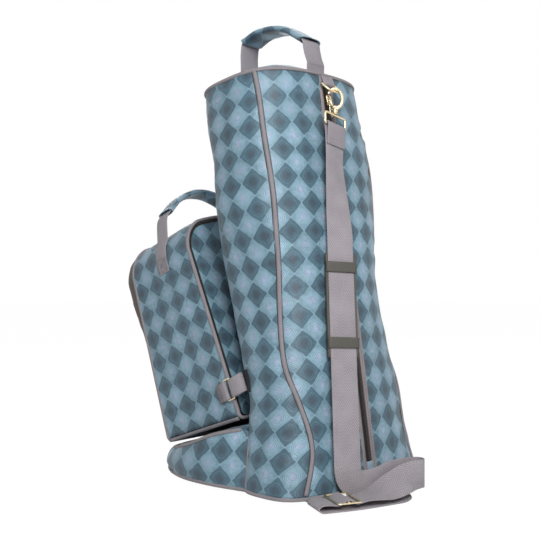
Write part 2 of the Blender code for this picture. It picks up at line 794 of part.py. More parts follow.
def snap_hook(kit, bow, metal):
    """Swivel snap hook hanging from the bow of the ring, with its gate and strap eye."""
    n, up, y = out_back(), up_back(), Vector((0, 1, 0))
    lean = math.radians(10)
    axis_up = (up * math.cos(lean) + y * math.sin(lean)).normalized()
    across = (y * math.cos(lean) - up * math.sin(lean)).normalized()
    turn = math.radians(52)
    lat = (n * math.sin(turn) + across * math.cos(turn)).normalized()
    hold = HOOK_H - HOOK_WIRE - 2 * GAP - RING_WIRE
    seat = bow - axis_up * hold
    k, q = HOOK_W / 0.0200, HOOK_H / 0.0345
    line = ((0, -0.0044), (0, 0.0010), (0.0004, 0.0036), (0.0070, 0.0080), (0.0098, 0.0155),
            (0.0093, 0.0242), (0.0050, 0.0318), (-0.0010, 0.0345), (-0.0070, 0.0318), (-0.0097, 0.0268))
    fat = (1.9, 1.9, 1.5, 1.05, 1, 1, 1, 1, 1, 1)
    at = lambda u, w: seat + lat * u * k + axis_up * w * q
    pts = [at(0, -0.0044)] + spline([at(*p) for p in line[1:]], 3)
    radii = [1.9]
    for i in range(1, len(fat) - 1):
        radii += [fat[i] + (fat[i + 1] - fat[i]) * j / 3 for j in range(3)]
    radii.append(1)
    tube(kit, "hook_top", pts, HOOK_WIRE, metal, sides=2, radii=radii)
    foot, tip = at(-0.0028, 0.0062), at(-0.0101, 0.0244)
    basis = frame_of(lat, lat.cross(axis_up))
    hinge = kit.pivot("hook_gate_axis", foot, basis)
    back = placed(foot, basis).inverted()
    tube(kit, "hook_gate", [back @ foot, back @ ((foot + tip) / 2), back @ tip], HOOK_WIRE * 0.64, metal,
         sides=2, under=hinge)
    top_bar = at(0, -0.0044) - axis_up * (GAP + EYE_WIRE)
    low_bar = top_bar - axis_up * (EYE_H - 2 * EYE_WIRE)
    half = STRAP_W / 2 + GAP + EYE_WIRE + 0.0006
    rect_ring(kit, "hook_eye", top_bar, low_bar, across, half, EYE_WIRE, metal)
    return low_bar, -axis_up, across


def strap_line(z):
    f = (STRAP_TOP_Z - z) / (STRAP_TOP_Z - STRAP_LOW_Z)
    return Vector((back_x(z) + STRAP_OFF, STRAP_TOP_Y + (STRAP_LOW_Y - STRAP_TOP_Y) * f, z))


def strap_dirs():
    a = math.radians(STRAP_TURN)
    t = Vector((math.sin(a), math.cos(a), 0))
    return t, Vector((t.y, -t.x, 0))


def heel_ring():
    """Bars of the low ring: one in its tab behind the heel, one near the floor."""
    wire = EYE_WIRE
    a = Vector((back_x(HEEL_RING_Z) + HEEL_RING_X, 0, HEEL_RING_Z))
    low = wire + WEB_T + 2 * GAP + 0.0005
    return a, Vector((a.x + 0.0155, 0, low))


def shoulder_strap(kit, web, low_bar, down, across):
    n = out_back()
    r = EYE_WIRE + GAP + WEB_T / 2
    z = Vector((0, 0, 1))
    t, o = strap_dirs()
    path = [(low_bar + down * 0.030 + n * r * 0.42, across), (low_bar + down * 0.010 + n * r * 0.72, across)]
    path += [(p, across) for p in fold(low_bar, n, -down, r)]
    path += [(low_bar + down * 0.010 - n * r * 0.72, across), (low_bar + down * 0.030 - n * r * 0.40, across)]
    path += [(low_bar + down * 0.065 - n * r * 0.30, across)]
    for h in (STRAP_TOP_Z, STRAP_TOP_Z - 0.020, 0.30, 0.20, 0.12, STRAP_LOW_Z, 0.050):
        path.append((strap_line(h), t))
    foot = strap_line(0.042)
    home = Vector((foot.x, foot.y, 0))
    edge = STRAP_W / 2 + 0.001
    turn = edge + 0.002
    at = lambda s, out, h: home + t * s + o * out + z * h
    for d in (0, 30, 60, 90):
        a = math.radians(d)
        p = at(turn * (1 - math.cos(a)), 0, edge + turn * (1 - math.sin(a)))
        path.append((p, t * math.cos(a) + z * math.sin(a)))
    path += [(at(0.045, 0, edge + 0.003), z), (at(0.066, 0, edge + 0.010), z), (at(0.088, 0, edge + 0.012), z)]
    for d in (0, 45, 90, 135, 180):
        a = math.radians(d)
        path.append((at(0.098 + 0.009 * math.sin(a), 0.009 - 0.009 * math.cos(a), edge + 0.012), z))
    path += [(at(0.080, 0.0195, edge + 0.010), z * 0.95 - o * 0.3), (at(0.055, 0.0235, edge + 0.002), z - o),
             (at(0.030, 0.026, 0.0150), z * 0.25 - o), (at(0.010, 0.026, 0.0118), -o)]
    for s, h in ((-0.006, 0.0092), (-0.0125, 0.0122), (-0.019, 0.0152), (-0.0255, 0.0122), (-0.032, 0.0092)):
        path.append((at(s, 0.026, h), -o))
    path += [(at(-0.045, 0.026, 0.0106), -o), (at(-0.0545, 0.026, 0.0104), -o), (at(-0.0595, 0.026, 0.0063), -o),
             (at(-0.0545, 0.026, 0.0022), -o), (at(-0.045, 0.026, 0.0016), -o), (at(0.0, 0.0245, 0.0015), -o)]
    bar_a, bar_b = heel_ring()
    x = Vector((1, 0, 0))
    y = Vector((0, 1, 0))
    swing = 0.022
    centre = Vector((bar_b.x + 0.0045, -swing, 0.0015))
    for d in (-27, 0, 30, 60, 84):
        a = math.radians(d)
        out = x * math.cos(a) + y * math.sin(a)
        path.append((centre + out * swing, -out))
    under = bar_b.z - r
    path += [(Vector((bar_b.x + 0.001, 0, under)), -y)]
    path += [(p, -y) for p in fold(bar_b, -z, -x, r)[1:]]
    path += [(bar_b + x * 0.010 + z * (r * 0.55), -y), (bar_b + x * 0.022 + z * (r * 0.10), -y)]
    ribbon(kit, "shoulder_strap", route(path, STRAP_W, 2), web)
    frame = frame_of(-o, z)
    plate_at = at(-0.019, 0.026, 0.0122)
    w, h = STRAP_W + 0.008, 0.0335
    slot_w, slot_h = STRAP_W + 2 * GAP, 0.0120
    mid = (slot_h + 0.0030) / 2
    slots = [round_rect(slot_w, slot_h, 0.001, 0, s * mid) for s in (-1, 1)]
    return frame, plate_at, [round_rect(w, h, 0.003)] + slots


def low_tab(kit, web, metal):
    bar_a, bar_b = heel_ring()
    y, z, x = Vector((0, 1, 0)), Vector((0, 0, 1)), Vector((1, 0, 0))
    r = EYE_WIRE + GAP + WEB_T / 2
    back = bar_a.x - back_x(bar_a.z) - 2 * GAP
    half = (WEB_T + GAP) / 2
    path = [bar_a - x * back - z * half] + fold(bar_a, -z, x, r) + [bar_a - x * back + z * half]
    ribbon(kit, "ring_tab_low", [(p, y, TAB_W) for p in path], web)
    rect_ring(kit, "ring_low", bar_a, bar_b, y, STRAP_W / 2 + GAP + EYE_WIRE + 0.0006, EYE_WIRE, metal)


def shoulder_pad(kit, mat):
    t, _ = strap_dirs()
    up = (strap_line(STRAP_TOP_Z) - strap_line(STRAP_LOW_Z)).normalized()
    x = (t - up * t.dot(up)).normalized()
    basis = frame_of(x, x.cross(up))
    at = strap_line(PAD_Z)
    room = WEB_T / 2 + GAP
    low, high = -(room + PAD_T), room + BAND_T
    axis = kit.pivot("shoulder_pad_axis", at, basis)
    one = Matrix.Identity(3)
    ob = box(kit, "shoulder_pad", (PAD_W, PAD_L, high - low), one, Vector((0, 0, (low + high) / 2)), mat,
             under=axis)
    place = lambda v: at + basis @ Vector(v)
    cut(kit, ob, "pad_channel", (STRAP_W + 4 * GAP, PAD_L + 0.02, 2 * room), basis, place((0, 0, 0)))
    lift = 0.010
    mid_len = PAD_L - 2 * (BAND_IN + BAND_L)
    cut(kit, ob, "pad_window", (PAD_W + 0.01, mid_len, lift), basis, place((0, 0, lift / 2 - room)))
    for s in (-1, 1):
        cut(kit, ob, "pad_end", (PAD_W + 0.01, BAND_IN * 2, lift), basis,
            place((0, s * PAD_L / 2, lift / 2 - room)))


# Front pouch

def pouch_length():
    return (Vector(POUCH_BACK_TOP) - Vector(POUCH_BACK_LOW)).length


def pouch_pt(d, y, h):
    """Point in the pouch: d from back to front, h along its height."""
    low = Vector(POUCH_BACK_LOW).lerp(Vector(POUCH_FRONT_LOW), d)
    top = Vector(POUCH_BACK_TOP).lerp(Vector(POUCH_FRONT_TOP), d)
    p = low + (top - low) * (h / pouch_length())
    return Vector((p.x, y, p.y))


def pouch_u(inset, low):
    """Outline of the pouch up one side, over the crown and down the other: (y, h) pairs."""
    w, r, top = POUCH_HALF - inset, POUCH_CORNER - inset, pouch_length() - inset
    half = [(-w, float(h)) for h in np.linspace(low, top - r, 6)]
    half += [(-(w - r) - r * math.cos(a), top - r + r * math.sin(a)) for a in np.linspace(0, math.pi / 2, 7)[1:]]
    half += [(-(w - r) * (1 - k / 4), top) for k in range(1, 5)]
    both = half + [(-y, h) for y, h in reversed(half[:-1])]
    mid = pouch_length() / 2
    crown = lambda y, h: POUCH_CROWN * math.cos(math.pi / 2 * y / POUCH_HALF) * smooth((h - mid) / mid)
    return [(y, h + crown(y, h)) for y, h in both]


def pouch_loop(d, inset, low=None):
    """Closed outline with small bottom corners."""
    low = inset if low is None else low
    r = 0.007
    u = pouch_u(inset, low + r)
    y0 = POUCH_HALF - inset
    turn = [(y0 - r * (1 - math.cos(a)), low + r - r * math.sin(a)) for a in (0.5, 1.05, math.pi / 2)]
    floor = [((y0 - r) * f, low) for f in (0.6, 0.2, -0.2, -0.6)]
    return [pouch_pt(d, y, h) for y, h in u + turn + floor + [(-y, h) for y, h in reversed(turn)]]


def pouch(kit, cloth, dark, grey, black, metal):
    tab_end, _, _ = clip_end(1)
    origin = Vector((tab_end.x, 0, tab_end.z))
    axis = kit.pivot("pouch_axis", origin)
    shift = lambda pts: [p - origin for p in pts]
    e = SEAM / (Vector(POUCH_BACK_LOW) - Vector(POUCH_FRONT_LOW)).length
    u = pouch_u(0.0, 3 * GAP + PIPE_R)
    rows = [shift([pouch_pt(d, y, h) for y, h in u]) for d in np.linspace(e, 1 - e, 5)]
    shell(kit, "pouch_gusset", rows, cloth, under=axis)
    span = np.linspace(POUCH_HALF - SEAM, SEAM - POUCH_HALF, 5)
    rows = [shift([pouch_pt(d, float(y), 0.0) for y in span]) for d in np.linspace(e, 1 - e, 4)]
    shell(kit, "pouch_bottom", rows, dark, under=axis)
    front = shift(pouch_loop(1.0, SEAM))
    run = Vector(POUCH_FRONT_TOP) - Vector(POUCH_FRONT_LOW)
    out = Vector((-run.y, 0, run.x)).normalized() * POUCH_DOME
    capped(kit, "pouch_front", front, sum(front, Vector()) / len(front), 4, out, dark, under=axis)
    back = shift(pouch_loop(0.0, SEAM + POUCH_ZIP_W + GAP, SEAM + 3 * GAP))
    back.reverse()
    capped(kit, "pouch_back", back, sum(back, Vector()) / len(back), 2, Vector((0, 0, 0)), cloth, under=axis)
    for name, d in (("front", 1.0), ("back", 0.0)):
        tube(kit, "pouch_piping_" + name, shift(pouch_loop(d, 0.0)), PIPE_R, grey, closed=True, under=axis)
    for name, y in (("near", -1), ("far", 1)):
        line = [pouch_pt(d, y * POUCH_HALF, 0.0) for d in np.linspace(2.2 * e, 1 - 2.2 * e, 4)]
        tube(kit, "pouch_piping_" + name, shift(line), PIPE_R, grey, under=axis)
    inner, outer = pouch_u(SEAM + POUCH_ZIP_W, 0.012), pouch_u(SEAM, 0.012)
    rows = [shift([pouch_pt(0.0, y, h) for y, h in line]) for line in (inner, outer)]
    shell(kit, "pouch_zip", rows, black, 0.0012, under=axis)
    pouch_runner(kit, metal, axis, origin)
    pouch_handle(kit, grey, cloth, axis, origin)
    return axis, origin


def pouch_dirs():
    run = Vector(POUCH_BACK_TOP) - Vector(POUCH_BACK_LOW)
    up = Vector((run.x, 0, run.y)).normalized()
    return up, Vector((up.z, 0, -up.x))


def pouch_runner(kit, metal, axis, origin):
    up, out = pouch_dirs()
    w, l, h = POUCH_ZIP_W - 2 * GAP, 0.0095, 0.0028
    y = POUCH_HALF - SEAM - POUCH_ZIP_W / 2
    at = pouch_pt(0.0, y, 0.085) + out * (GAP + h / 2) - origin
    slide = bpy.data.objects.new("pouch_slider_axis", None)
    kit.parts.objects.link(slide)
    slide.parent = axis
    slide.matrix_local = Matrix.Translation(at) @ frame_of((0, 1, 0), out).to_4x4()
    one = Matrix.Identity(3)
    box(kit, "pouch_slider", (w, l, h), one, Vector((0, 0, 0)), metal, 0.0006, slide)
    t, length = 0.0012, 0.019
    hinge = bpy.data.objects.new("pouch_pull_axis", None)
    kit.parts.objects.link(hinge)
    hinge.parent = slide
    hinge.location = (0, 0, h / 2 + GAP + t / 2)
    outer = round_rect(w, length, w * 0.3, 0, -length / 2 + w * 0.1)
    hole = round_rect(w * 0.45, length * 0.4, w * 0.15, 0, -length * 0.62)
    plate(kit, "pouch_pull", [outer, hole], t, one, (0, 0, 0), metal, hinge)


def pouch_handle(kit, web, cloth, axis, origin):
    d, y0 = 0.45, POUCH_HALF - 0.010
    u = pouch_u(0.0, 0.0)
    half = u[:len(u) // 2 + 1]
    h0 = float(np.interp(-y0, [p[0] for p in half[5:]], [p[1] for p in half[5:]])) + 6 * GAP
    low, top = pouch_pt(d, 0, 0), pouch_pt(d, 0, pouch_length())
    peak = (P_GRIP_Z - low.z) / (top.z - low.z) * pouch_length()
    side = pouch_pt(0, 0, pouch_length()) - pouch_pt(1, 0, pouch_length())
    at = pouch_pt(d, 0, h0) - origin
    turn = bpy.data.objects.new("pouch_handle_axis", None)
    kit.parts.objects.link(turn)
    turn.parent = axis
    turn.location = at
    place = lambda y, h: pouch_pt(d, y, h) - origin - at
    for name, s in (("near", -1), ("far", 1)):
        bend = [(y0 - 0.0010, h0 + TAPER), (y0 - 0.011, h0 + 0.042), (y0 - 0.0220, peak - 0.0412)]
        path = [place(s * y0, h0)] + spline([place(s * y, h) for y, h in bend], 3)
        leg(kit, "pouch_leg_" + name, path, side, P_WEB_W, web, None, turn)
    grip = [(y0 - 0.0227, peak - 0.0402), (y0 * 0.524, peak - 0.0180), (y0 * 0.238, peak - 0.0035),
            (0.0, peak)]
    line = [place(-y, h) for y, h in grip] + [place(y, h) for y, h in reversed(grip[:-1])]
    sleeve(kit, "pouch_grip", spline(line, 2), side, P_WEB_W + 0.006, GRIP_T * 0.9, cloth, None, turn)


def surface_at(x, z):
    """Ring height and angle of the shaft side at a depth and height."""
    ring = z
    for _ in range(12):
        deg = deg_at_x(ring, x, 1)
        ring += z - body(ring, deg).z
    return ring, deg


def clip_end(side):
    """Sewn end of a side tab on the shaft, with the ring height and angle there."""
    up, out = pouch_dirs()
    at = pouch_pt(0.0, 0.0, CLIP_RISE) + out * 0.036
    ring, deg = surface_at(at.x, at.z)
    return Vector((at.x, side * body(ring, deg).y, at.z)), ring, deg


def side_clip(kit, name, side, web, black, metal, axis, origin):
    up, out = pouch_dirs()
    r = CLIP_WIRE + GAP + WEB_T / 2
    y = Vector((0, -side, 0))
    plane = POUCH_HALF + 2 * GAP + WEB_T / 2 + r
    mid = pouch_pt(0.0, -side * plane, CLIP_RISE) - origin
    reach = 0.0065
    bar_a, bar_b = mid - out * reach, mid + out * reach
    rect_ring(kit, "clip_ring_" + name, bar_a, bar_b, up, CLIP_W / 2 + CLIP_WIRE + GAP, CLIP_WIRE, metal, axis)
    sewn = mid - out * 0.024
    path = [sewn - y * r] + fold(bar_a, -y, out, r) + [sewn - y * (r - WEB_T - GAP)]
    ribbon(kit, "clip_loop_" + name, [(p, up, CLIP_W) for p in path], web, under=axis)
    end, ring, deg = clip_end(side)
    end = end - origin
    rest = PATCH_LIFT + PATCH_T + 9 * GAP + WEB_T / 2
    path = [end + y * rest] + fold(bar_b, -y, -out, r) + [end + y * (rest + WEB_T + GAP)]
    ribbon(kit, "clip_tab_" + name, [(p, up, CLIP_W) for p in path], web, under=axis)
    rows = []
    for dz in np.linspace(-0.016, 0.016, 4):
        z = ring + float(dz)
        row = []
        for run in (0.010, 0.0, -0.012):
            a = step_along(z, deg, run) if run else deg
            row.append(body_off(z, side * a, PATCH_LIFT + PATCH_T))
        rows.append(row if side > 0 else list(reversed(row)))
    shell(kit, "clip_patch_" + name, rows, black, PATCH_T)


def settle(kit):
    """Origin at the bottom centre of everything."""
    bpy.context.view_layer.update()
    graph = bpy.context.evaluated_depsgraph_get()
    pts = []
    for ob in kit.parts.objects:
        if ob.type == "EMPTY":
            continue
        live = ob.evaluated_get(graph)
        mesh = live.to_mesh()
        pts += [live.matrix_world @ v.co for v in mesh.vertices]
        live.to_mesh_clear()
    arr = np.array(pts)
    lo, hi = arr.min(axis=0), arr.max(axis=0)
    move = Vector((-(lo[0] + hi[0]) / 2, -(lo[1] + hi[1]) / 2, -lo[2]))
    kit.root.location = move
    for tool in kit.cutters.objects:
        tool.parent = kit.root
    bpy.context.view_layer.update()


def main():
    clear_scene()
    kit = Kit()
    cloth = material("printed_fabric", (0.16, 0.27, 0.33), 0.75)
    grey = material("grey_piping", (0.32, 0.30, 0.31), 0.7)
    web = material("lilac_webbing", (0.36, 0.34, 0.37), 0.8)
    black = material("black_zip", (0.02, 0.02, 0.022), 0.6)
    brass = material("gold_metal", (0.75, 0.56, 0.25), 0.3, 1.0)
    pad = material("olive_pad", (0.09, 0.085, 0.07), 0.7)
    dark = material("dark_panel", (0.045, 0.035, 0.033), 0.8)
    rubber = material("black_rubber", (0.015, 0.015, 0.015), 0.6)
    front_panel(kit, cloth)
    back_panels(kit, cloth, grey)
    zip_chain(kit, black)
    zip_garage(kit, grey)
    zip_runner(kit, brass)
    top_and_base(kit, cloth, dark)
    toe_box(kit, cloth)
    piping(kit, grey)
    feet(kit, rubber)
    top_handle(kit, web, cloth)
    bow = ring_and_tab(kit, web, brass)
    low_bar, down, across = snap_hook(kit, bow, brass)
    frame, at, outlines = shoulder_strap(kit, web, low_bar, down, across)
    plate(kit, "strap_adjuster", outlines, 0.0020, frame, at, brass)
    low_tab(kit, web, brass)
    shoulder_pad(kit, pad)
    axis, origin = pouch(kit, cloth, dark, grey, black, brass)
    for name, side in (("near", 1), ("far", -1)):
        side_clip(kit, name, side, web, black, brass, axis, origin)
    settle(kit)


main()
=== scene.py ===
# Looks of the tall boot bag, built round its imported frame: printed padded cloth, piped seams,
# webbing, zips and gilt fittings.  Metres, +Z up, toe towards -X, zip and strap on +X.
import math
import bpy
import numpy as np
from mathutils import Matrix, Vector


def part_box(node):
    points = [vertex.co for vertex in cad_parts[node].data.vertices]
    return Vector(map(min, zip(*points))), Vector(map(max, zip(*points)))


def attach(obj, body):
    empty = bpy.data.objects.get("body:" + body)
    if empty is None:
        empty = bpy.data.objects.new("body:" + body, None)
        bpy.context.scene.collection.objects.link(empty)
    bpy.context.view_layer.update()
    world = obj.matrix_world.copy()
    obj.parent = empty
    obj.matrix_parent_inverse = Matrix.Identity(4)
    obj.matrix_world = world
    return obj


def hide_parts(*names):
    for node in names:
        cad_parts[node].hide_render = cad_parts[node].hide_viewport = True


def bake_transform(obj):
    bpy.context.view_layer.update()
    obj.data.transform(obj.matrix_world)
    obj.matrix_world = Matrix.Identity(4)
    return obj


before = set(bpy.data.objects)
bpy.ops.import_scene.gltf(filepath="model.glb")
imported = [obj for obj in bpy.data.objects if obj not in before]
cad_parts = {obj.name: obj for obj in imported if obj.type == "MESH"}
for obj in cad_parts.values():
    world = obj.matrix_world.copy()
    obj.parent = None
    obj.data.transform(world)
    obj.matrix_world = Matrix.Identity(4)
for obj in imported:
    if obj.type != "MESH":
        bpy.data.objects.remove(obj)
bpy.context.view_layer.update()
foot_lo, foot_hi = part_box("foot_heel_near")
SHIFT = np.array([(foot_lo.x + foot_hi.x) / 2 - 0.110, 0.0, 0.0])

# Sizes shared with the frame
PIPE_R, WALL, GAP = 0.0022, 0.0024, 0.0004
BASE_Z = 0.0089
RIM_Z, RIM_BACK_X, BACK_LEAN, RIM_TILT, TILT_Z, DOME_H = 0.5835, 0.0517, 0.1487, 0.16, 0.19, 0.034
SECTIONS = ((BASE_Z, 0.0655, 0.1520, 3.2), (0.0700, 0.0640, 0.1405, 3.0), (0.1350, 0.0610, 0.1305, 2.9),
            (0.2000, 0.0705, 0.1200, 2.9), (0.2900, 0.0798, 0.1135, 2.9), (0.3800, 0.0770, 0.1260, 2.9),
            (0.4600, 0.0745, 0.1312, 2.9), (0.5470, 0.0820, 0.1187, 2.9), (RIM_Z, 0.0840, 0.1165, 2.9))
SIDE_SEAM = ((BASE_Z, 47), (0.060, 40), (0.095, 43.5), (0.135, 54), (0.172, 65), (0.205, 68),
             (0.268, 66), (0.334, 59.5), (0.400, 54), (0.450, 54), (0.500, 57.5), (RIM_Z, 63.5))
TOE_ANGLE, TOE_TOP_Z = 112, 0.101
TOE_SIDE = ((-0.020, -0.155), (-0.075, -0.155), (-0.125, -0.138), (-0.163, -0.104), (-0.187, -0.055))
TOE_TIP_X, TOE_RISE, TOE_TIP_Z = -0.195, (0.077, 0.056, 0.041, 0.033, 0.029), 0.028
TOE_INSET, TOE_BULGE = 0.007, 0.008
ZIP_W, ZIP_END_Z, BIND_W, SLIDER_Z = 0.0155, 0.037, 0.0064, 0.545
WEB_T, STRAP_W, TAB_W = 0.0018, 0.038, 0.025
DIAMOND = 0.038         # corner to corner of one printed diamond
AX, AY, AZ = np.eye(3)
MIRROR = np.array([1, -1, 1])
SIDES = (("near", 1), ("far", -1))          # sign of a run round the shaft
FLANKS = (("near", -1), ("far", 1))         # sign of y
CHAIN_RISE = 0.0006                         # zip chain above the line of the cloth
EYE_R, EYE_HIGH = 0.0018, 0.0200            # wire radius of the strap's two rings, height of the upper one
EYE_HALF = STRAP_W / 2 + GAP + 0.0024
EYE_TURN = EYE_R + GAP + WEB_T / 2          # from a bar's middle to the middle of the webbing round it
WEB_STITCH = (0.0034, 0.0025, 0.00034)      # pitch, length and thread radius in webbing
STRAP_STITCH = (0.0034, 0.0025, 0.00036)
SHAFT_HEIGHTS = np.linspace(BASE_Z + 0.001, RIM_Z - 0.0005, 170)


# Curves and grids

def smooth(t):
    t = np.clip(t, 0.0, 1.0)
    return t * t * (3 - 2 * t)


def unit(v):
    return v / np.maximum(np.linalg.norm(v, axis=-1, keepdims=True), 1e-12)


def run_length(pts):
    return np.concatenate([[0.0], np.cumsum(np.linalg.norm(np.diff(pts, axis=0), axis=1))])


def spline(points, per=6, closed=False):
    """Smooth curve through the points."""
    p = np.asarray([np.asarray(q, float) for q in points])
    n = len(p)
    ext = np.vstack([p[-1:], p, p[:2]]) if closed else np.vstack([2 * p[0] - p[1], p, 2 * p[-1] - p[-2]])
    t = np.arange(per)[:, None] / per
    out = []
    for i in range(1, n + 1 if closed else n):
        a, b, c, d = ext[i - 1:i + 3]
        out.append(0.5 * (2 * b + (c - a) * t + (2 * a - 5 * b + 4 * c - d) * t ** 2
                          + (3 * b - a - 3 * c + d) * t ** 3))
    return np.vstack(out if closed else out + [p[-1:]])


def even(pts, step):
    """The same line with points an even step apart."""
    run = run_length(pts)
    at = np.linspace(0, run[-1], max(2, int(round(run[-1] / step)) + 1))
    return np.stack([np.interp(at, run, pts[:, k]) for k in range(3)], axis=-1)


def looped(pts):
    """The same line, brought back to its first point."""
    return np.vstack([pts, pts[:1]])


def even_loop(pts, step):
    return even(looped(pts), step)[:-1]


def arc(centre, a_dir, b_dir, radius, start, stop, count):
    t = np.radians(np.linspace(start, stop, count))[:, None]
    return centre + a_dir * radius * np.cos(t) + b_dir * radius * np.sin(t)


def hermite(table, z):
    rows = np.array(table, float)
    h = rows[:, 0]
    z = float(np.clip(z, h[0], h[-1]))
    i = int(np.clip(np.searchsorted(h, z) - 1, 0, len(h) - 2))
    ends = []
    for k in (i, i + 1):
        lo, hi = max(k - 1, 0), min(k + 1, len(h) - 1)
        ends.append((rows[hi] - rows[lo]) / (h[hi] - h[lo]))
    span = h[i + 1] - h[i]
    t = (z - h[i]) / span
    return ((2 * t ** 3 - 3 * t ** 2 + 1) * rows[i] + (t ** 3 - 2 * t ** 2 + t) * span * ends[0]
            + (3 * t ** 2 - 2 * t ** 3) * rows[i + 1] + (t ** 3 - t ** 2) * span * ends[1])


def ripple(x, y, seed=0):
    """Smooth unevenness between -1 and 1, one lump to each unit."""
    xi, yi = np.floor(x), np.floor(y)
    fx, fy = smooth(x - xi), smooth(y - yi)
    corner = []
    for i, j in ((0, 0), (1, 0), (0, 1), (1, 1)):
        s = np.sin((xi + i) * 127.1 + (yi + j) * 311.7 + seed * 74.7) * 43758.5453
        corner.append((s - np.floor(s)) * 2 - 1)
    low = corner[0] * (1 - fx) + corner[1] * fx
    high = corner[2] * (1 - fx) + corner[3] * fx
    return low * (1 - fy) + high * fy


def grid_normals(P):
    return unit(np.cross(np.gradient(P, axis=1), np.gradient(P, axis=0)))


# Making pieces

def put(name, data):
    ob = bpy.data.objects.new(name, data)
    bpy.context.scene.collection.objects.link(ob)
    return ob


def piece(name, shape, finish, rides, stands_for=()):
    """One mesh object: shape is its points in the part's own frame, its faces and their print lengths."""
    points, faces, corners = shape
    mesh = bpy.data.meshes.new(name)
    mesh.from_pydata((np.asarray(points, float) + SHIFT).tolist(), [], [list(map(int, f)) for f in faces])
    layer = mesh.uv_layers.new(name="UVMap")
    layer.data.foreach_set("uv", np.asarray(corners, np.float32).ravel())
    mesh.polygons.foreach_set("use_smooth", [True] * len(mesh.polygons))
    mesh.materials.append(finish)
    ob = put(name, mesh)
    if rides:
        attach(ob, rides)
    if stands_for:
        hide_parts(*stands_for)
    return ob


def grid_faces(shape, lengths, skip=None, ring=False):
    """Faces of a grid and the print lengths at their corners; ring joins last column to first."""
    rows, cols = shape
    idx = np.arange(rows * cols).reshape(rows, cols)
    cur = idx if ring else idx[:, :-1]
    nxt = np.roll(idx, -1, axis=1) if ring else idx[:, 1:]
    quads = np.stack([cur[:-1], nxt[:-1], nxt[1:], cur[1:]], axis=-1)
    a, b = lengths[:, :-1], lengths[:, 1:]
    corners = np.stack([a[:-1], b[:-1], b[1:], a[1:]], axis=-2)
    keep = np.ones(quads.shape[:2], bool) if skip is None else ~skip
    return quads[keep], corners[keep]


def sheet(name, P, lengths, finish, rides, stands_for=(), thick=WALL, skip=None):
    """A cloth panel of real thickness from a grid of points on its outer face."""
    P, lengths = np.asarray(P), np.asarray(lengths)
    quads, corners = grid_faces(P.shape[:2], lengths, skip)
    ob = piece(name, (P.reshape(-1, 3), quads, corners.reshape(-1, 2)), finish, None)
    if thick:
        wall = ob.modifiers.new("wall", "SOLIDIFY")
        wall.thickness, wall.offset = thick, -1
        graph = bpy.context.evaluated_depsgraph_get()
        ob.data = bpy.data.meshes.new_from_object(ob.evaluated_get(graph))
        ob.modifiers.clear()
    if rides:
        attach(ob, rides)
    if stands_for:
        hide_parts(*stands_for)
    return ob


def oval(w, h, count=12):
    a = np.linspace(0, 2 * math.pi, count, endpoint=False)
    return np.stack([np.cos(a) * w / 2, np.sin(a) * h / 2], axis=-1)


def bar(w, h, r, count=3):
    """Rounded bar section; the flats carry extra points so that they stay flat."""
    out = []
    for sx, sy, a0 in ((1, 1, 0), (-1, 1, 90), (-1, -1, 180), (1, -1, 270)):
        for a in np.radians(a0 + np.linspace(0, 90, count)):
            out.append((sx * (w / 2 - r) + r * math.cos(a), sy * (h / 2 - r) + r * math.sin(a)))
    pts = []
    for k, p in enumerate(out):
        pts.append(p)
        q = out[(k + 1) % len(out)]
        if math.dist(p, q) > 3 * r and math.dist(p, q) > 0.004:
            pts += [tuple(np.add(np.multiply(p, 1 - f), np.multiply(q, f))) for f in (0.25, 0.5, 0.75)]
    return np.array(pts)


def sweep(pts, section, side=None, out=None, closed=False, scale=None):
    """Points, faces and lengths of a section carried along a line.  side is the way its width lies,
    out the way it faces; with neither the section keeps its turn as the line bends."""
    pts = np.asarray(pts, float)
    n = len(pts)
    if closed:
        t = unit(np.roll(pts, -1, axis=0) - np.roll(pts, 1, axis=0))
    else:
        t = unit(np.gradient(pts, axis=0))
    if out is not None:
        w = unit(np.cross(np.broadcast_to(out, pts.shape), t))
    elif side is not None:
        s = np.broadcast_to(side, pts.shape)
        w = unit(s - t * np.sum(s * t, axis=1, keepdims=True))
    else:
        w = np.zeros_like(pts)
        start = AZ if abs(t[0] @ AZ) < 0.9 else AX
        w[0] = unit(start - t[0] * (start @ t[0]))
        for i in range(1, n):
            w[i] = unit(w[i - 1] - t[i] * (w[i - 1] @ t[i]))
    face = np.cross(t, w)
    size = np.ones((n, 1, 1)) if scale is None else np.asarray(scale, float).reshape(n, -1, 1)
    if size.shape[1] == 2:
        size = size.reshape(n, 1, 2)
    sec = section[None] * size
    P = pts[:, None] + w[:, None] * sec[..., :1] + face[:, None] * sec[..., 1:]
    run = run_length(looped(pts) if closed else pts)
    round_run = run_length(looped(section))
    lengths = np.stack(np.broadcast_arrays(run[:, None], round_run[None]), axis=-1)
    grid = looped(P) if closed else P
    quads, corners = grid_faces(grid.shape[:2], lengths, ring=True)
    faces = quads.reshape(-1, 4)
    if closed:
        faces = faces % (n * len(section))
    faces = [tuple(f) for f in faces]
    corners = [tuple(c) for c in corners.reshape(-1, 2)]
    if not closed:
        k = len(section)
        faces.append(tuple(range(k))[::-1])
        faces.append(tuple(range((n - 1) * k, n * k)))
        corners += [tuple(c) for c in section[::-1]] + [tuple(c) for c in section]
    return P.reshape(-1, 3), faces, corners


def gather(parts):
    """Several sets of points, faces and lengths as one."""
    points, faces, corners, start = [], [], [], 0
    for p, f, c in parts:
        points.append(p)
        faces += [tuple(i + start for i in face) for face in f]
        corners += list(c)
        start += len(p)
    return np.vstack(points), faces, corners


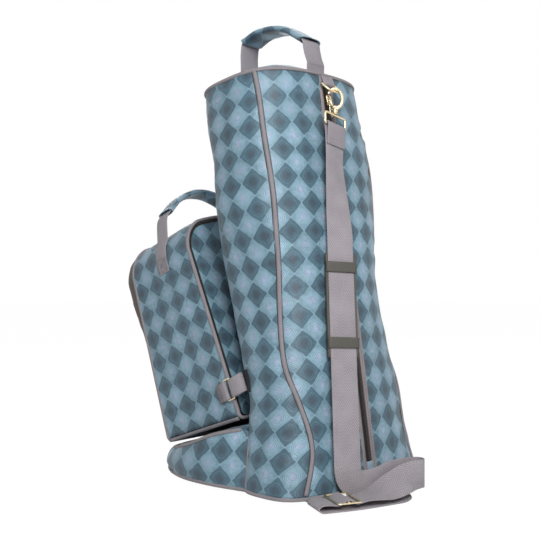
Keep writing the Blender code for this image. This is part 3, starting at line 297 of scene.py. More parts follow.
def thread_run(pts, out, pitch=0.0042, long=0.0030, r=0.00042):
    """Sewn stitches along a line, each a short bead of thread lying on the cloth."""
    pts = np.asarray(pts, float)
    line = even(pts, 0.0005)
    run = run_length(line)
    out = np.broadcast_to(out, pts.shape)
    at0 = run_length(pts)
    made = []
    for s in np.arange(pitch / 2, run[-1] - long / 2, pitch):
        p, a, b = (np.array([np.interp(q, run, line[:, k]) for k in range(3)])
                   for q in (s, s - long / 2, s + long / 2))
        n = unit(np.array([np.interp(s / run[-1] * at0[-1], at0, out[:, k]) for k in range(3)]))
        stitch = np.array([a - n * r * 0.5, a * 0.7 + p * 0.3 + n * r * 0.5, p + n * r * 0.7,
                           b * 0.7 + p * 0.3 + n * r * 0.5, b - n * r * 0.5])
        made.append(sweep(stitch, oval(2 * r, 2 * r, 5), out=n, scale=[0.5, 1, 1, 1, 0.5]))
    return made


def sewn_across(at, way, half, out, stitch=WEB_STITCH):
    """One row of stitches from edge to edge of a webbing."""
    return thread_run([at - way * half, at + way * half], out, *stitch)


# The shaft, ring by ring

def back_x(z):
    return RIM_BACK_X + BACK_LEAN * (RIM_Z - z)


def body(z, deg):
    _, depth, width, power = hermite(SECTIONS, z)
    a = np.radians(np.asarray(deg, float))
    c, s = np.cos(a), np.sin(a)
    x = depth * np.sign(c) * np.abs(c) ** (2 / power)
    y = -width * np.sign(s) * np.abs(s) ** (2 / power)
    tip = RIM_TILT * float(smooth((z - BASE_Z) / (TILT_Z - BASE_Z)))
    return np.stack([back_x(z) - depth + x, y, z + tip * (x - depth)], axis=-1)


class Ring:
    """One ring of the shaft, measured round from the centre of the back; near side positive."""
    fine = np.linspace(0, 180, 1441)

    def __init__(self, z):
        self.z = z
        self.pts = body(z, self.fine)
        self.run = run_length(self.pts)
        self.half = self.run[-1]

    def s_at(self, deg):
        return float(np.interp(deg, self.fine, self.run))

    def at(self, s):
        s = np.asarray(s, float)
        p = np.stack([np.interp(np.abs(s), self.run, self.pts[:, k]) for k in range(3)], axis=-1)
        p[..., 1] *= np.where(s < 0, -1, 1)
        return p


def seam_deg(z):
    return float(hermite(SIDE_SEAM, z)[1])


def shaft_out(z, s):
    """Outward direction of the shaft at a height and run."""
    up = Ring(min(z + 0.002, RIM_Z)).at(s) - Ring(max(z - 0.002, BASE_Z)).at(s)
    mid = Ring(z)
    return unit(np.cross(up, mid.at(np.add(s, 0.001)) - mid.at(np.subtract(s, 0.001))))


UP_BACK = unit(np.array([-BACK_LEAN, 0, 1.0]))
OUT_BACK = unit(np.array([1.0, 0, BACK_LEAN]))


# Finishes

def rgb(hexed):
    """An sRGB hex colour as linear values."""
    out = []
    for k in (0, 2, 4):
        c = int(hexed[k:k + 2], 16) / 255
        out.append(c / 12.92 if c <= 0.04045 else ((c + 0.055) / 1.055) ** 2.4)
    return (*out, 1.0)


def add(tree, kind, sockets=(), out=0, ramp=None, **fields):
    """Adds one node: fields are its settings, sockets its values or links; gives one of its outputs."""
    node = tree.nodes.new("ShaderNode" + kind)
    for field, value in fields.items():
        setattr(node, field, value)
    for key, value in sockets.items() if isinstance(sockets, dict) else enumerate(sockets):
        if isinstance(value, bpy.types.NodeSocket):
            tree.links.new(value, node.inputs[key])
        elif value is not None:
            node.inputs[key].default_value = value
    if ramp:
        stops = node.color_ramp.elements
        while len(stops) < len(ramp):
            stops.new(1.0)
        for stop, (at, color) in zip(stops, ramp):
            stop.position, stop.color = at, rgb(color)
    return node.outputs[out]


def finish(name, roughness, metallic=0.0, **sockets):
    """A named Principled finish with its constant values set on the shader itself."""
    mat = bpy.data.materials.new(name)
    mat.use_nodes = True
    tree = mat.node_tree
    shader = tree.nodes["Principled BSDF"]
    shader.inputs["Roughness"].default_value = roughness
    shader.inputs["Metallic"].default_value = metallic
    for key, value in sockets.items():
        shader.inputs[key.replace("_", " ")].default_value = value
    return mat, tree, shader


def printed_polyester():
    """Coated polyester cloth over foam, printed with a tonal diamond check in rows of light and dark:
    a soft-edged disc in each diamond, fine drawn lines round it, and the ink lying unevenly.  The coat
    gives a low broad gloss, and the weave is drawn at 1.4 mm, twice its size, so that it shows."""
    mat, tree, shader = finish("printed_coated_polyester", 0.48, Sheen_Weight=0.10, Sheen_Roughness=0.4,
                               Specular_IOR_Level=0.5)
    # Lumps to a metre: the print wanders every 13 mm, the ink every 7 mm, the padded cloth every 17 mm
    print_scale, ink_scale, cloth_scale = 75.0, 150.0, 60.0
    weave_step = 0.0014
    uv = add(tree, "UVMap")
    drift = add(tree, "TexNoise", {"Vector": uv, "Scale": print_scale, "Detail": 2.0}, 1,
                noise_dimensions="2D")
    drift = add(tree, "VectorMath", (drift, (0.5, 0.5, 0.5)), operation="SUBTRACT")
    drift = add(tree, "VectorMath", {0: drift, "Scale": 0.0034}, operation="SCALE")
    drawn = add(tree, "VectorMath", (uv, drift), operation="ADD")
    k = math.sqrt(2) / DIAMOND
    turned = add(tree, "Mapping", {"Vector": drawn, "Rotation": (0, 0, math.pi / 4), "Scale": (k, k, 1)})
    turned = add(tree, "VectorMath", (turned, (0.5, 0.5, 0.0)), operation="ADD")
    cell = add(tree, "VectorMath", (turned,), operation="FLOOR")
    within = add(tree, "VectorMath", (turned,), operation="FRACTION")
    within = add(tree, "VectorMath", (within, (0.5, 0.5, 0.0)), operation="SUBTRACT")
    within = add(tree, "VectorMath", (within,), operation="ABSOLUTE")
    within = add(tree, "VectorMath", (within, (1.0, 1.0, 0.0)), operation="MULTIPLY")
    fa = add(tree, "SeparateXYZ", (within,), 0)
    fb = add(tree, "SeparateXYZ", (within,), 1)
    ca = add(tree, "SeparateXYZ", (cell,), 0)
    cb = add(tree, "SeparateXYZ", (cell,), 1)
    row = add(tree, "Math", (add(tree, "Math", (ca, cb), operation="ADD"), 1.0), operation="PINGPONG")
    edge = add(tree, "Math", (fa, fb), operation="MAXIMUM")
    reach = add(tree, "VectorMath", (within,), 1, operation="LENGTH")
    reach = add(tree, "Math", (reach, 0.58), operation="MULTIPLY")
    reach = add(tree, "Math", (edge, 0.42, reach), operation="MULTIPLY_ADD")
    light = add(tree, "ValToRGB", (reach,), ramp=(
        (0.00, "9DAEC2"), (0.16, "98ACC1"), (0.19, "6F8BA1"), (0.21, "9BB6C9"), (0.26, "8CAABE"),
        (0.28, "5F7D92"), (0.30, "9BB9C8"), (0.345, "83A4B4"), (0.365, "608093"), (0.385, "92B2C0"),
        (0.43, "7B9CAD"), (0.47, "7596A7")))
    dark = add(tree, "ValToRGB", (reach,), ramp=(
        (0.00, "3F4F5B"), (0.18, "425562"), (0.20, "334857"), (0.22, "4C6675"), (0.29, "46606F"),
        (0.31, "354E5E"), (0.33, "587684"), (0.40, "476473"), (0.47, "4A6878")))
    color = add(tree, "Mix", {0: row, 6: light, 7: dark}, 2, data_type="RGBA")
    line = add(tree, "ValToRGB", (edge,), ramp=((0.466, "000000"), (0.484, "686868"), (0.5, "989898")))
    color = add(tree, "Mix", {0: line, 6: color, 7: rgb("B2CCD8")}, 2, data_type="RGBA")
    corner = add(tree, "Math", (fa, fb), operation="MULTIPLY")
    pinch = add(tree, "ValToRGB", (corner,), ramp=((0.205, "000000"), (0.228, "808080"), (0.25, "A0A0A0")))
    color = add(tree, "Mix", {0: pinch, 6: color, 7: rgb("A3BFCD")}, 2, data_type="RGBA")
    dot = add(tree, "VectorMath", (within, (0.335, 0.335, 0.0)), 1, operation="DISTANCE")
    dot = add(tree, "ValToRGB", (dot,), ramp=((0.022, "B0B0B0"), (0.04, "000000")))
    color = add(tree, "Mix", {0: dot, 6: color, 7: rgb("44616F")}, 2, data_type="RGBA")
    ink = add(tree, "TexNoise", {"Vector": uv, "Scale": ink_scale, "Detail": 8.0, "Roughness": 0.72}, 0,
              noise_dimensions="2D")
    each = add(tree, "TexWhiteNoise", {"Vector": cell}, 0, noise_dimensions="2D")
    tone = add(tree, "Math", (each, 0.20, 0.44), operation="MULTIPLY_ADD")
    tone = add(tree, "Math", (ink, 0.90, tone), operation="MULTIPLY_ADD")
    color = add(tree, "HueSaturation", {"Value": tone, "Color": color})
    tree.links.new(color, shader.inputs["Base Color"])
    threads = []
    for way in (0, 1):
        run = add(tree, "SeparateXYZ", (uv,), way)
        turn = add(tree, "Math", (run, 2 * math.pi / weave_step), operation="MULTIPLY")
        threads.append(add(tree, "Math", (turn,), operation="SINE"))
    weave = add(tree, "Math", threads, operation="MULTIPLY")
    creep = add(tree, "TexNoise", {"Vector": uv, "Scale": cloth_scale, "Detail": 4.0, "Distortion": 0.6}, 0,
                noise_dimensions="2D")
    height = add(tree, "Math", (weave, 0.05, creep), operation="MULTIPLY_ADD")
    normal = add(tree, "Bump", {"Height": height, "Strength": 0.35, "Distance": 0.0016})
    tree.links.new(normal, shader.inputs["Normal"])
    rough = add(tree, "Math", (ink, 0.22, 0.40), operation="MULTIPLY_ADD")
    tree.links.new(rough, shader.inputs["Roughness"])
    return mat


def narrow_weave(name, high, low, rib, lean, turn, depth):
    """Polyester narrow weave, such as webbing, binding or a piping cover: ribs slant one way and then the
    other across its width, dull threads with a little fuzz.  Ribs are drawn no finer than 1 mm."""
    mat, tree, shader = finish(name, 0.85, Sheen_Weight=0.15, Sheen_Roughness=0.5, Specular_IOR_Level=0.3)
    # Lumps to a metre: fuzz every 1.4 mm, as fine as it shows, and wear every 29 mm
    fuzz_scale, wear_scale = 700.0, 35.0
    uv = add(tree, "UVMap")
    along = add(tree, "SeparateXYZ", (uv,), 0)
    across = add(tree, "SeparateXYZ", (uv,), 1)
    zig = add(tree, "Math", (across, turn), operation="PINGPONG")
    place = add(tree, "Math", (zig, lean, along), operation="MULTIPLY_ADD")
    wave = add(tree, "Math", (place, 2 * math.pi / rib), operation="MULTIPLY")
    wave = add(tree, "Math", (wave,), operation="SINE")
    fuzz = add(tree, "TexNoise", {"Vector": uv, "Scale": fuzz_scale, "Detail": 3.0}, 0,
               noise_dimensions="2D")
    wear = add(tree, "TexNoise", {"Vector": uv, "Scale": wear_scale, "Detail": 3.0}, 0,
               noise_dimensions="2D")
    height = add(tree, "Math", (wave, 0.35, fuzz), operation="MULTIPLY_ADD")
    tint = add(tree, "Math", (height, 0.55, 0.15), operation="MULTIPLY_ADD")
    tint = add(tree, "Math", (wear, 0.35, tint), operation="MULTIPLY_ADD")
    color = add(tree, "ValToRGB", (tint,), ramp=((0.2, low), (0.85, high)))
    tree.links.new(color, shader.inputs["Base Color"])
    normal = add(tree, "Bump", {"Height": height, "Strength": 0.7, "Distance": depth})
    tree.links.new(normal, shader.inputs["Normal"])
    return mat


def grained(name, high, low, grain_mm, depth, roughness, metallic=0.0, **sockets):
    """A surface with an even grain of the given size and two close tones."""
    mat, tree, shader = finish(name, roughness, metallic, **sockets)
    spot = add(tree, "TexCoord", out=3)
    grain = add(tree, "TexNoise", {"Vector": spot, "Scale": 1000 / grain_mm, "Detail": 4.0,
                                   "Roughness": 0.6})
    color = add(tree, "ValToRGB", (grain,), ramp=((0.3, low), (0.7, high)))
    tree.links.new(color, shader.inputs["Base Color"])
    if depth:
        normal = add(tree, "Bump", {"Height": grain, "Strength": 0.5, "Distance": depth})
        tree.links.new(normal, shader.inputs["Normal"])
    rough = add(tree, "Math", (grain, 0.2, roughness - 0.1), operation="MULTIPLY_ADD")
    tree.links.new(rough, shader.inputs["Roughness"])
    return mat


CLOTH = printed_polyester()
# Woven polyester cover round a cord, taupe with a slight lilac cast: fine slanting ribs, no shine.
PIPING = narrow_weave("taupe_piping_cover", "A09A9E", "7F797D", 0.0012, 0.6, 0.0035, 0.0004)
# Herringbone polyester webbing: chevrons, drawn 4.2 mm apart, about twice their size, so that they show.
WEBBING = narrow_weave("lilac_grey_webbing", "AFA9AF", "7E787E", 0.0042, 1.5, 0.0095, 0.0006)
# Flat polyester binding, folded over and sewn: close slanting ribs, matt.
BINDING = narrow_weave("taupe_zip_binding", "A69B9D", "857B7F", 0.0011, 1.0, 0.0032, 0.0003)
# Woven polyester tape of a zip: near black, with faint ribs.
ZIP_TAPE = narrow_weave("black_zip_tape", "302B29", "1C1918", 0.0010, 1.0, 0.0020, 0.0003)
# Nylon coil, extruded, with a soft shine.
COIL = grained("black_nylon_coil", "332E2C", "1F1B1A", 1.0, 0.0, 0.42)
# Zinc casting plated pale gold, polished, faintly clouded by handling.
GILT = grained("gilt_zinc_casting", "EADCBD", "DAC79D", 3.0, 0.0, 0.24, 1.0)
# Moulded rubber, olive brown, with a leathery grain.
PAD = grained("olive_moulded_rubber", "56534C", "403E39", 1.2, 0.0004, 0.60)
# Painted shade: coated cloth, dark brown with a low gloss, in place of the printed cloth on the pouch's
# floor and front, as they look in shadow.
PAINTED_SHADE_CLOTH = grained("painted_shade_pouch_cloth", "574F4B", "413A37", 1.0, 0.0005, 0.55)
# Plain woven lining under the base, charcoal and matt.
LINING = grained("charcoal_base_cloth", "38363A", "272529", 1.0, 0.0005, 0.85)
# Moulded rubber, black, dulled by a fine grain.
RUBBER = grained("black_rubber_foot", "232325", "151517", 1.5, 0.0003, 0.65)
# Hook and loop pile, matt and rough.
PILE = grained("black_loop_pile", "262427", "121113", 0.8, 0.0012, 0.95)
# Twisted polyester thread, dull, with a mottle in place of its twist, which is too fine to show.
THREAD = grained("grey_polyester_thread", "8F868B", "6F666B", 0.6, 0.0, 0.7)
# Painted shadow: thin dark lines drawn beside the side piping, where its shade falls.
PAINTED_SHADOW_LINE = grained("painted_shadow_line", "4A4347", "332E31", 0.6, 0.0, 0.7)


# Camera and studio

# Name, place, size in metres and watts
LAMPS = (("key", (1.25, -0.98, 1.15), 0.7, 25), ("left_fill", (-0.9, -1.7, 0.9), 1.4, 0.3),
         ("back_fill", (-1.25, 1.15, 1.2), 1.2, 20), ("top", (0.0, -0.2, 2.0), 1.4, 3))


def camera():
    """The fitted camera, level, looking at the bag's near rear quarter."""
    cam = bpy.data.cameras.new("camera")
    cam.lens, cam.sensor_width = 56.07, 36.0
    eye = put("camera", cam)
    eye.location = np.array([0.8232, -0.9415, 0.3022]) + SHIFT
    eye.rotation_euler = (math.pi / 2, 0, math.radians(43))
    bpy.context.scene.camera = eye
    bpy.context.scene.view_settings.view_transform = "Standard"


def lamps():
    """Soft boxes, each aimed at the middle of the bag."""
    for name, at, size, watts in LAMPS:
        lamp = bpy.data.lights.new(name, "AREA")
        lamp.energy, lamp.size = watts, size
        ob = put(name, lamp)
        ob.location = at
        aim = np.array([0, 0, 0.3]) - np.array(at)
        yaw = math.atan2(aim[1], aim[0]) - math.pi / 2
        ob.rotation_euler = (math.pi / 2 + math.atan2(aim[2], math.hypot(aim[0], aim[1])), 0, yaw)


def white_world():
    """White to the eye and in reflections, and dim as a lamp."""
    world = bpy.data.worlds.new("studio")
    bpy.context.scene.world = world
    world.use_nodes = True
    tree = world.node_tree
    tree.nodes.clear()
    plain_rays = add(tree, "LightPath", out=0)
    glossy = add(tree, "LightPath", out=3)
    through = add(tree, "LightPath", out=6)
    seen = add(tree, "Math", (plain_rays, glossy), operation="MAXIMUM")
    seen = add(tree, "Math", (seen, through), operation="MAXIMUM")
    strength = add(tree, "Math", (seen, 0.89, 0.11), operation="MULTIPLY_ADD")
    sky = add(tree, "Background", {"Color": (1, 1, 1, 1), "Strength": strength})
    tree.links.new(sky, tree.nodes.new("ShaderNodeOutputWorld").inputs[0])


def paper_floor():
    """White paper that glows to the eye, so that only a faint shadow shows on it."""
    mat = bpy.data.materials.new("white_paper_floor")
    mat.use_nodes = True
    tree = mat.node_tree
    tree.nodes.clear()
    plain_rays = add(tree, "LightPath", out=0)
    glossy = add(tree, "LightPath", out=3)
    seen = add(tree, "Math", (plain_rays, glossy), operation="MAXIMUM")
    share = add(tree, "Math", (seen, 0.94), operation="MULTIPLY")
    matt = add(tree, "BsdfDiffuse", {"Color": rgb("F4F4F4")})
    glow = add(tree, "Emission", {"Color": (1, 1, 1, 1), "Strength": 1.05})
    both = add(tree, "MixShader", (share, matt, glow))
    tree.links.new(both, tree.nodes.new("ShaderNodeOutputMaterial").inputs[0])
    mesh = bpy.data.meshes.new("floor")
    mesh.from_pydata([(-6, -6, 0), (6, -6, 0), (6, 6, 0), (-6, 6, 0)], [], [(0, 1, 2, 3)])
    mesh.materials.append(mat)
    put("floor", mesh)


# Shaft panels

def swell(P, away, lengths, bulge, seed):
    """Padding: the cloth stands out between its seams, puckers where it is sewn and wanders a little."""
    u, v = lengths[..., 0], lengths[..., 1]
    rise, sewn, settle = 0.020, 0.011, 0.014    # how far padding, puckers and seams reach into the cloth
    puff = bulge * (1 - np.exp(-away / rise))
    pucker = 0.0011 * np.exp(-away / sewn) * ripple(u / 0.011 + v / 0.013, (u - v) / 0.017, seed)
    soft = 0.0022 * ripple(u / 0.075, v / 0.060, seed + 3) + 0.0009 * ripple(u / 0.031, v / 0.027, seed + 5)
    fine = 0.00035 * ripple(u / 0.011, v / 0.009, seed + 7)
    return P + grid_normals(P) * (puff + pucker + (soft + fine) * (1 - np.exp(-away / settle)))[..., None]


def crease(P, centre, along, long, wide, depth):
    """One soft fold pressed into the cloth: a groove with a low ridge on each side."""
    d = P - np.asarray(centre)
    along = unit(np.asarray(along, float))
    n = grid_normals(P)
    s = d @ along
    across = np.linalg.norm(np.cross(d, along), axis=-1) * np.sign(
        np.sum(np.cross(np.broadcast_to(along, n.shape), n) * d, axis=-1))
    off = np.abs(np.sum(d * n, axis=-1))
    w = across / wide
    shape = -(1 - 1.1 * w ** 2) * np.exp(-w ** 2) * np.exp(-(s / long) ** 2) * np.exp(-(off / 0.05) ** 2)
    return P + n * (depth * shape)[..., None]


def front_panel():
    half_cols = 84
    rows, lens, away, mouth = [], [], [], []
    for z in SHAFT_HEIGHTS:
        ring = Ring(z)
        start = ring.s_at(seam_deg(z))
        near = np.linspace(start, ring.half, half_cols)
        s = np.concatenate([-near, near[::-1][1:]])
        rows.append(ring.at(s))
        u = np.concatenate([near - ring.half, (ring.half - near[::-1])[1:]])
        lens.append(np.stack([u, np.full_like(u, z * 1.02)], axis=-1))
        away.append(np.minimum(np.abs(s) - start, min(RIM_Z - z, z - BASE_Z)))
        mouth.append((np.abs(s) > ring.s_at(TOE_ANGLE)) & (z < TOE_TOP_Z - 0.004))
    lens, mouth = np.array(lens), np.array(mouth)
    P = swell(np.array(rows), np.maximum(np.array(away), 0), lens, 0.0016, 11)
    ankle = Ring(0.085).at(Ring(0.085).s_at(88))
    for shift, along, long, wide, depth in (
            ((0, 0, 0), (0.8, 0, 0.6), 0.030, 0.010, 0.0030),
            ((0.020, 0, -0.018), (0.9, 0, 0.35), 0.026, 0.008, 0.0022),
            ((0.005, 0, 0.030), (0.7, 0, 0.7), 0.026, 0.011, 0.0020)):
        P = crease(P, ankle + np.array(shift), along, long, wide, depth)
    skip = mouth[:-1, :-1] & mouth[1:, 1:]
    sheet("shaft_front", P, lens, CLOTH, "bag", ("front_panel",), skip=skip)


def back_panels():
    seeds = {"near": 23, "far": 37}
    for name, side in SIDES:
        rows, lens, away = [], [], []
        for z in SHAFT_HEIGHTS:
            ring = Ring(z)
            a, b = ZIP_W / 2 + 0.002, ring.s_at(seam_deg(z))
            s = side * np.linspace(a, b, 46)[::-side]
            rows.append(ring.at(s))
            lens.append(np.stack([-s, np.full_like(s, z * 1.012)], axis=-1))
            away.append(np.minimum(np.minimum(np.abs(s) - a, b - np.abs(s)), min(RIM_Z - z, z - BASE_Z)))
        lens = np.array(lens)
        P = swell(np.array(rows), np.maximum(np.array(away), 0), lens, 0.0018, seeds[name])
        if name == "far":
            for z, depth in ((0.512, 0.0055), (0.452, 0.0028), (0.335, 0.0022)):
                ring = Ring(z)
                at = ring.at(-ring.s_at(seam_deg(z)) * 0.86)
                P = crease(P, at, (-0.25, 0.9, 0.22), 0.045, 0.010, depth)
        sheet("shaft_back_" + name, P, lens, CLOTH, "bag", ("back_panel_" + name,))


def zip_bindings():
    """Bound edges beside the zip, each with its row of stitches."""
    heights = np.linspace(BASE_Z + 0.002, RIM_Z - 0.001, 120)
    edge = ZIP_W / 2
    runs = np.array([edge - 0.0012, edge, edge + BIND_W * 0.5, edge + BIND_W - 0.0004, edge + BIND_W])
    lift = np.array([-0.0008, 0.0007, 0.0013, 0.0009, -0.0004])
    for name, side in SIDES:
        s, high = side * runs[::-side], lift[::-side]
        rows = [Ring(z).at(s) + shaft_out(z, s) * high[:, None] for z in heights]
        lens = [np.stack([np.full(5, z), s], axis=-1) for z in heights]
        sheet("zip_binding_cloth_" + name, rows, lens, BINDING, "bag", ("zip_binding_" + name,), 0.0012)
        seam = [Ring(z).at(side * (edge + 0.0012)) + OUT_BACK * 0.0011 for z in heights]
        sewing = gather(thread_run(seam, OUT_BACK))
        piece("zip_stitching_" + name, sewing, THREAD, "bag")


def zip_chain():
    """Tape, and the coil on it with its turns from each side in turn."""
    heights = np.linspace(ZIP_END_Z, RIM_Z - 0.001, 110)
    s = np.linspace(ZIP_W / 2, -ZIP_W / 2, 5)
    rows = [Ring(z).at(s) - OUT_BACK * 0.0012 for z in heights]
    lens = [np.stack([np.full(5, z), s], axis=-1) for z in heights]
    sheet("zip_tape", rows, lens, ZIP_TAPE, "bag", (), 0.0010)
    pitch, wire = 0.0024, 0.0011
    turn = ((-0.0032, -0.0006), (-0.0024, 0.0005), (0.0004, 0.0007), (0.0011, -0.0001))
    made = []
    for k, z in enumerate(np.arange(ZIP_END_Z + 0.003, RIM_Z - 0.004, pitch / 2)):
        way = AY if k % 2 else -AY
        at = np.array([back_x(z), 0, z]) - OUT_BACK * 0.0001
        made.append(sweep([at + way * a + OUT_BACK * b for a, b in turn], oval(wire, wire, 6)))
    piece("zip_coil", gather(made), COIL, "bag", ("zip_chain",))


def zip_end():
    """Cloth below the bottom stop."""
    heights = np.linspace(BASE_Z + 0.001, ZIP_END_Z + 0.0015, 14)
    s = np.linspace(ZIP_W / 2 + 0.001, -ZIP_W / 2 - 0.001, 9)
    rows = [Ring(z).at(s) + OUT_BACK * 0.0003 for z in heights]
    lens = [np.stack([-s, np.full(9, z)], axis=-1) for z in heights]
    sheet("zip_end_cloth", rows, lens, CLOTH, "bag", ("zip_garage",))


def seam_cord(name, pts, out, stands_for, rides="bag", closed=False, wide=0.0058, high=0.0044):
    """Piping: a woven cover round a cord, lying in a seam."""
    piece(name, sweep(pts, oval(wide, high), out=out, closed=closed), PIPING, rides, stands_for)


def rim_frame():
    pts = body(RIM_Z, -np.linspace(0, 360, 56, endpoint=False))
    return pts.mean(axis=0), unit(np.array([-RIM_TILT, 0, 1.0]))


def toe_edges():
    """Base edge and top edge of the toe, from the near quarter round to the far one."""
    z_top = TOE_TOP_Z - 2 * (PIPE_R + GAP)
    first, last = body(BASE_Z, TOE_ANGLE + 0.5), body(z_top, TOE_ANGLE + 0.5)
    low = [first] + [np.array([x, y, BASE_Z]) for x, y in TOE_SIDE] + [np.array([TOE_TIP_X, 0, BASE_Z])]
    top = [last]
    for (x, y), z in zip(TOE_SIDE, TOE_RISE):
        inward = unit(np.array([-x * 0.5, -y, 0]))
        top.append(np.array([x, y, z]) + inward * TOE_INSET)
    top.append(np.array([TOE_TIP_X + TOE_INSET, 0, TOE_TIP_Z]))
    return [spline(line + [p * MIRROR for p in reversed(line[:-1])], 8) for line in (low, top)]


def shaft_seams():
    """Piping round the rim and down each side, the side ones between two painted shadow lines, made as thin
    dark threads.
    """
    centre, lift = rim_frame()
    rim = body(RIM_Z, np.linspace(0, 360, 220, endpoint=False))
    seam_cord("rim_cord", rim, unit(rim - centre + lift * 0.06), ("rim_piping",), closed=True, wide=0.0056)
    rings = [Ring(z) for z in np.linspace(BASE_Z + 0.004, RIM_Z - 0.002, 150)]
    thread = 0.0009
    for name, side in SIDES:
        runs = [side * ring.s_at(seam_deg(ring.z)) for ring in rings]
        out = np.array([shaft_out(ring.z, s) for ring, s in zip(rings, runs)])
        line = np.array([ring.at(s) for ring, s in zip(rings, runs)]) + out * 0.0006
        seam_cord("side_cord_" + name, line, out, ("side_piping_" + name,))
        for k, way in enumerate((side, -side)):
            # Painted shadow: a thin dark line on each side of the piping.
            beside = np.array([ring.at(s + way * 0.0036) for ring, s in zip(rings, runs)]) + out * 0.0007
            sewn = sweep(beside, oval(thread, thread, 6), out=out)
            piece("side_seam_line_%s_%d" % (name, k), sewn, PAINTED_SHADOW_LINE, "bag")


def base_and_toe_seams():
    """Piping round the base and along the toe's top edge, and the cloth under the base."""
    low, top = toe_edges()
    near = body(BASE_Z, np.linspace(0, TOE_ANGLE, 60)[:-1])
    base = np.vstack([near, low, (near[1:] * MIRROR)[::-1]])
    middle = AZ * BASE_Z
    seam_cord("base_cord", base, unit(base - middle), ("base_piping",), closed=True, wide=0.0050)
    level = np.cross(np.gradient(top, axis=0), AZ)
    level = unit(level) * np.sign(np.sum(level * (top - middle), axis=1, keepdims=True))
    out = unit(level + AZ * 0.9)
    seam_cord("toe_cord", top[2:-2], out[2:-2], ("toe_piping",), wide=0.0052)
    under = base + unit(middle - base) * np.array([0.004, 0.004, 0]) - AZ * 0.0012
    P = np.array([looped(middle + (under - middle) * f) for f in np.linspace(1, 0.02, 10)])
    sheet("base_cover", P, P[..., :2], LINING, "bag", ("base_board",))


TOE_ROWS = np.linspace(0, 1, 26)


def toe_side():
    low, top = toe_edges()
    n = len(low)
    along = np.gradient(low, axis=0)
    out = unit(np.stack([-along[:, 1], along[:, 0], np.zeros(n)], axis=-1))
    ends = smooth(np.minimum(np.arange(n), n - 1 - np.arange(n)) / 13)
    run = run_length(low)
    rows, lens = [], []
    for f in TOE_ROWS:
        row = low * (1 - f) + top * f + out * (TOE_BULGE * math.sin(math.pi * f) * ends)[:, None]
        for j, side in ((0, 1), (n - 1, -1)):
            z = float(np.clip(row[j, 2], BASE_Z, RIM_Z))
            row[j] = body(z, side * (TOE_ANGLE + 0.4))
        rows.append(row)
        lens.append(np.stack([run - run[-1] / 2, row[:, 2]], axis=-1))
    lens = np.array(lens)
    away = np.minimum(np.minimum(TOE_ROWS, 1 - TOE_ROWS)[:, None] * (top - low)[:, 2], 0.05)
    P = swell(np.array(rows), np.maximum(away, 0), lens, 0.0012, 51)
    tip = np.array([-0.170, -0.098, 0.020])
    for dx, dz, depth in ((0.0, 0.0, 0.0030), (0.022, 0.006, 0.0024), (0.050, 0.010, 0.0022),
                          (-0.012, 0.006, 0.0022)):
        P = crease(P, tip + np.array([dx, -dx * 0.7, dz]), (0.25, -0.2, 0.9), 0.016, 0.009, depth)
    sheet("toe_side_cloth", P[:, ::-1], lens[:, ::-1], CLOTH, "bag", ("toe_wall",))


def toe_top():
    _, top = toe_edges()
    n = len(top)
    inner = np.array([body(TOE_TOP_Z, TOE_ANGLE + (360 - 2 * TOE_ANGLE) * j / (n - 1)) for j in range(n)])
    deep = np.linalg.norm(inner[n // 2] - top[n // 2])
    rows, lens = [], []
    for f in TOE_ROWS:
        row = top * (1 - f) + (inner - AZ * 0.001) * f
        rows.append(row[::-1])
        lens.append(np.stack([row[::-1, 1], np.full(n, deep * f)], axis=-1))
    lens = np.array(lens)
    away = np.minimum(TOE_ROWS, 1 - TOE_ROWS)[:, None] * 0.08
    sheet("toe_top_cloth", swell(np.array(rows), away, lens, 0.0016, 61), lens, CLOTH, "bag", ("toe_top",))


def toe_side_seams():
    heights = np.linspace(BASE_Z + 0.003, TOE_TOP_Z - 0.006, 40)
    for name, side in SIDES:
        line = np.array([body(z, side * (TOE_ANGLE + 0.2)) for z in heights])
        out = np.array([shaft_out(z, side * Ring(z).s_at(TOE_ANGLE)) for z in heights])
        seam_cord("toe_side_cord_" + name, line + out * 0.0006, out, (), wide=0.0026, high=0.0024)


def top_cloth():
    centre, lift = rim_frame()
    rim = body(RIM_Z, -np.linspace(0, 360, 160))
    f = np.linspace(1, 0.004, 42)[:, None, None]
    P = centre + (rim - centre)[None] * f + lift * DOME_H * np.cos(f * math.pi / 2)
    lens = np.stack([P[..., 1], P[..., 0] * 1.02], axis=-1)
    P = swell(P, (1 - f[..., 0]) * 0.10, lens, 0.0008, 71)
    sheet("top_cloth", P, lens, CLOTH, "bag", ("top_panel",))


def feet():
    """Moulded rubber studs, slightly wider at the cloth, with a rounded tread edge."""
    for name in ("heel_near", "heel_far", "toe_near", "toe_far"):
        lo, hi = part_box("foot_" + name)
        at = np.array([(lo.x + hi.x) / 2, (lo.y + hi.y) / 2, 0]) - SHIFT
        high = hi.z
        outline = np.array([(0.0001, 0), (0.0060, 0), (0.0069, 0.0004), (0.0073, 0.0012),
                            (0.0077, high - 0.0012), (0.0078, high - 0.0002), (0.0001, high - 0.0001)])
        radius, height = outline[:, :1], outline[:, 1:]
        turn = np.linspace(0, 2 * math.pi, 33)
        x, y = radius * np.cos(turn), radius * np.sin(turn)
        P = at + np.stack(np.broadcast_arrays(x, y, height), axis=-1)
        lens = np.stack(np.broadcast_arrays(turn * 0.007, height), axis=-1)
        sheet("moulded_foot_" + name, P, lens, RUBBER, "bag", ("foot_" + name,), 0)


# Top handle

def dome_point(x):
    """Top cloth on the centre line at depth x."""
    centre, lift = rim_frame()
    end = body(RIM_Z, 0 if x > centre[0] else 180)
    f = np.linspace(0, 1, 400)[:, None]
    line = centre + (end - centre) * f + lift * DOME_H * np.cos(f * math.pi / 2)
    k = int(np.argmin(np.abs(line[:, 0] - x)))
    return line[k]


def ribbon(pts, side, width, thick=WEB_T, scale=None):
    return sweep(pts, bar(width, thick, thick * 0.45), side=side, scale=scale)


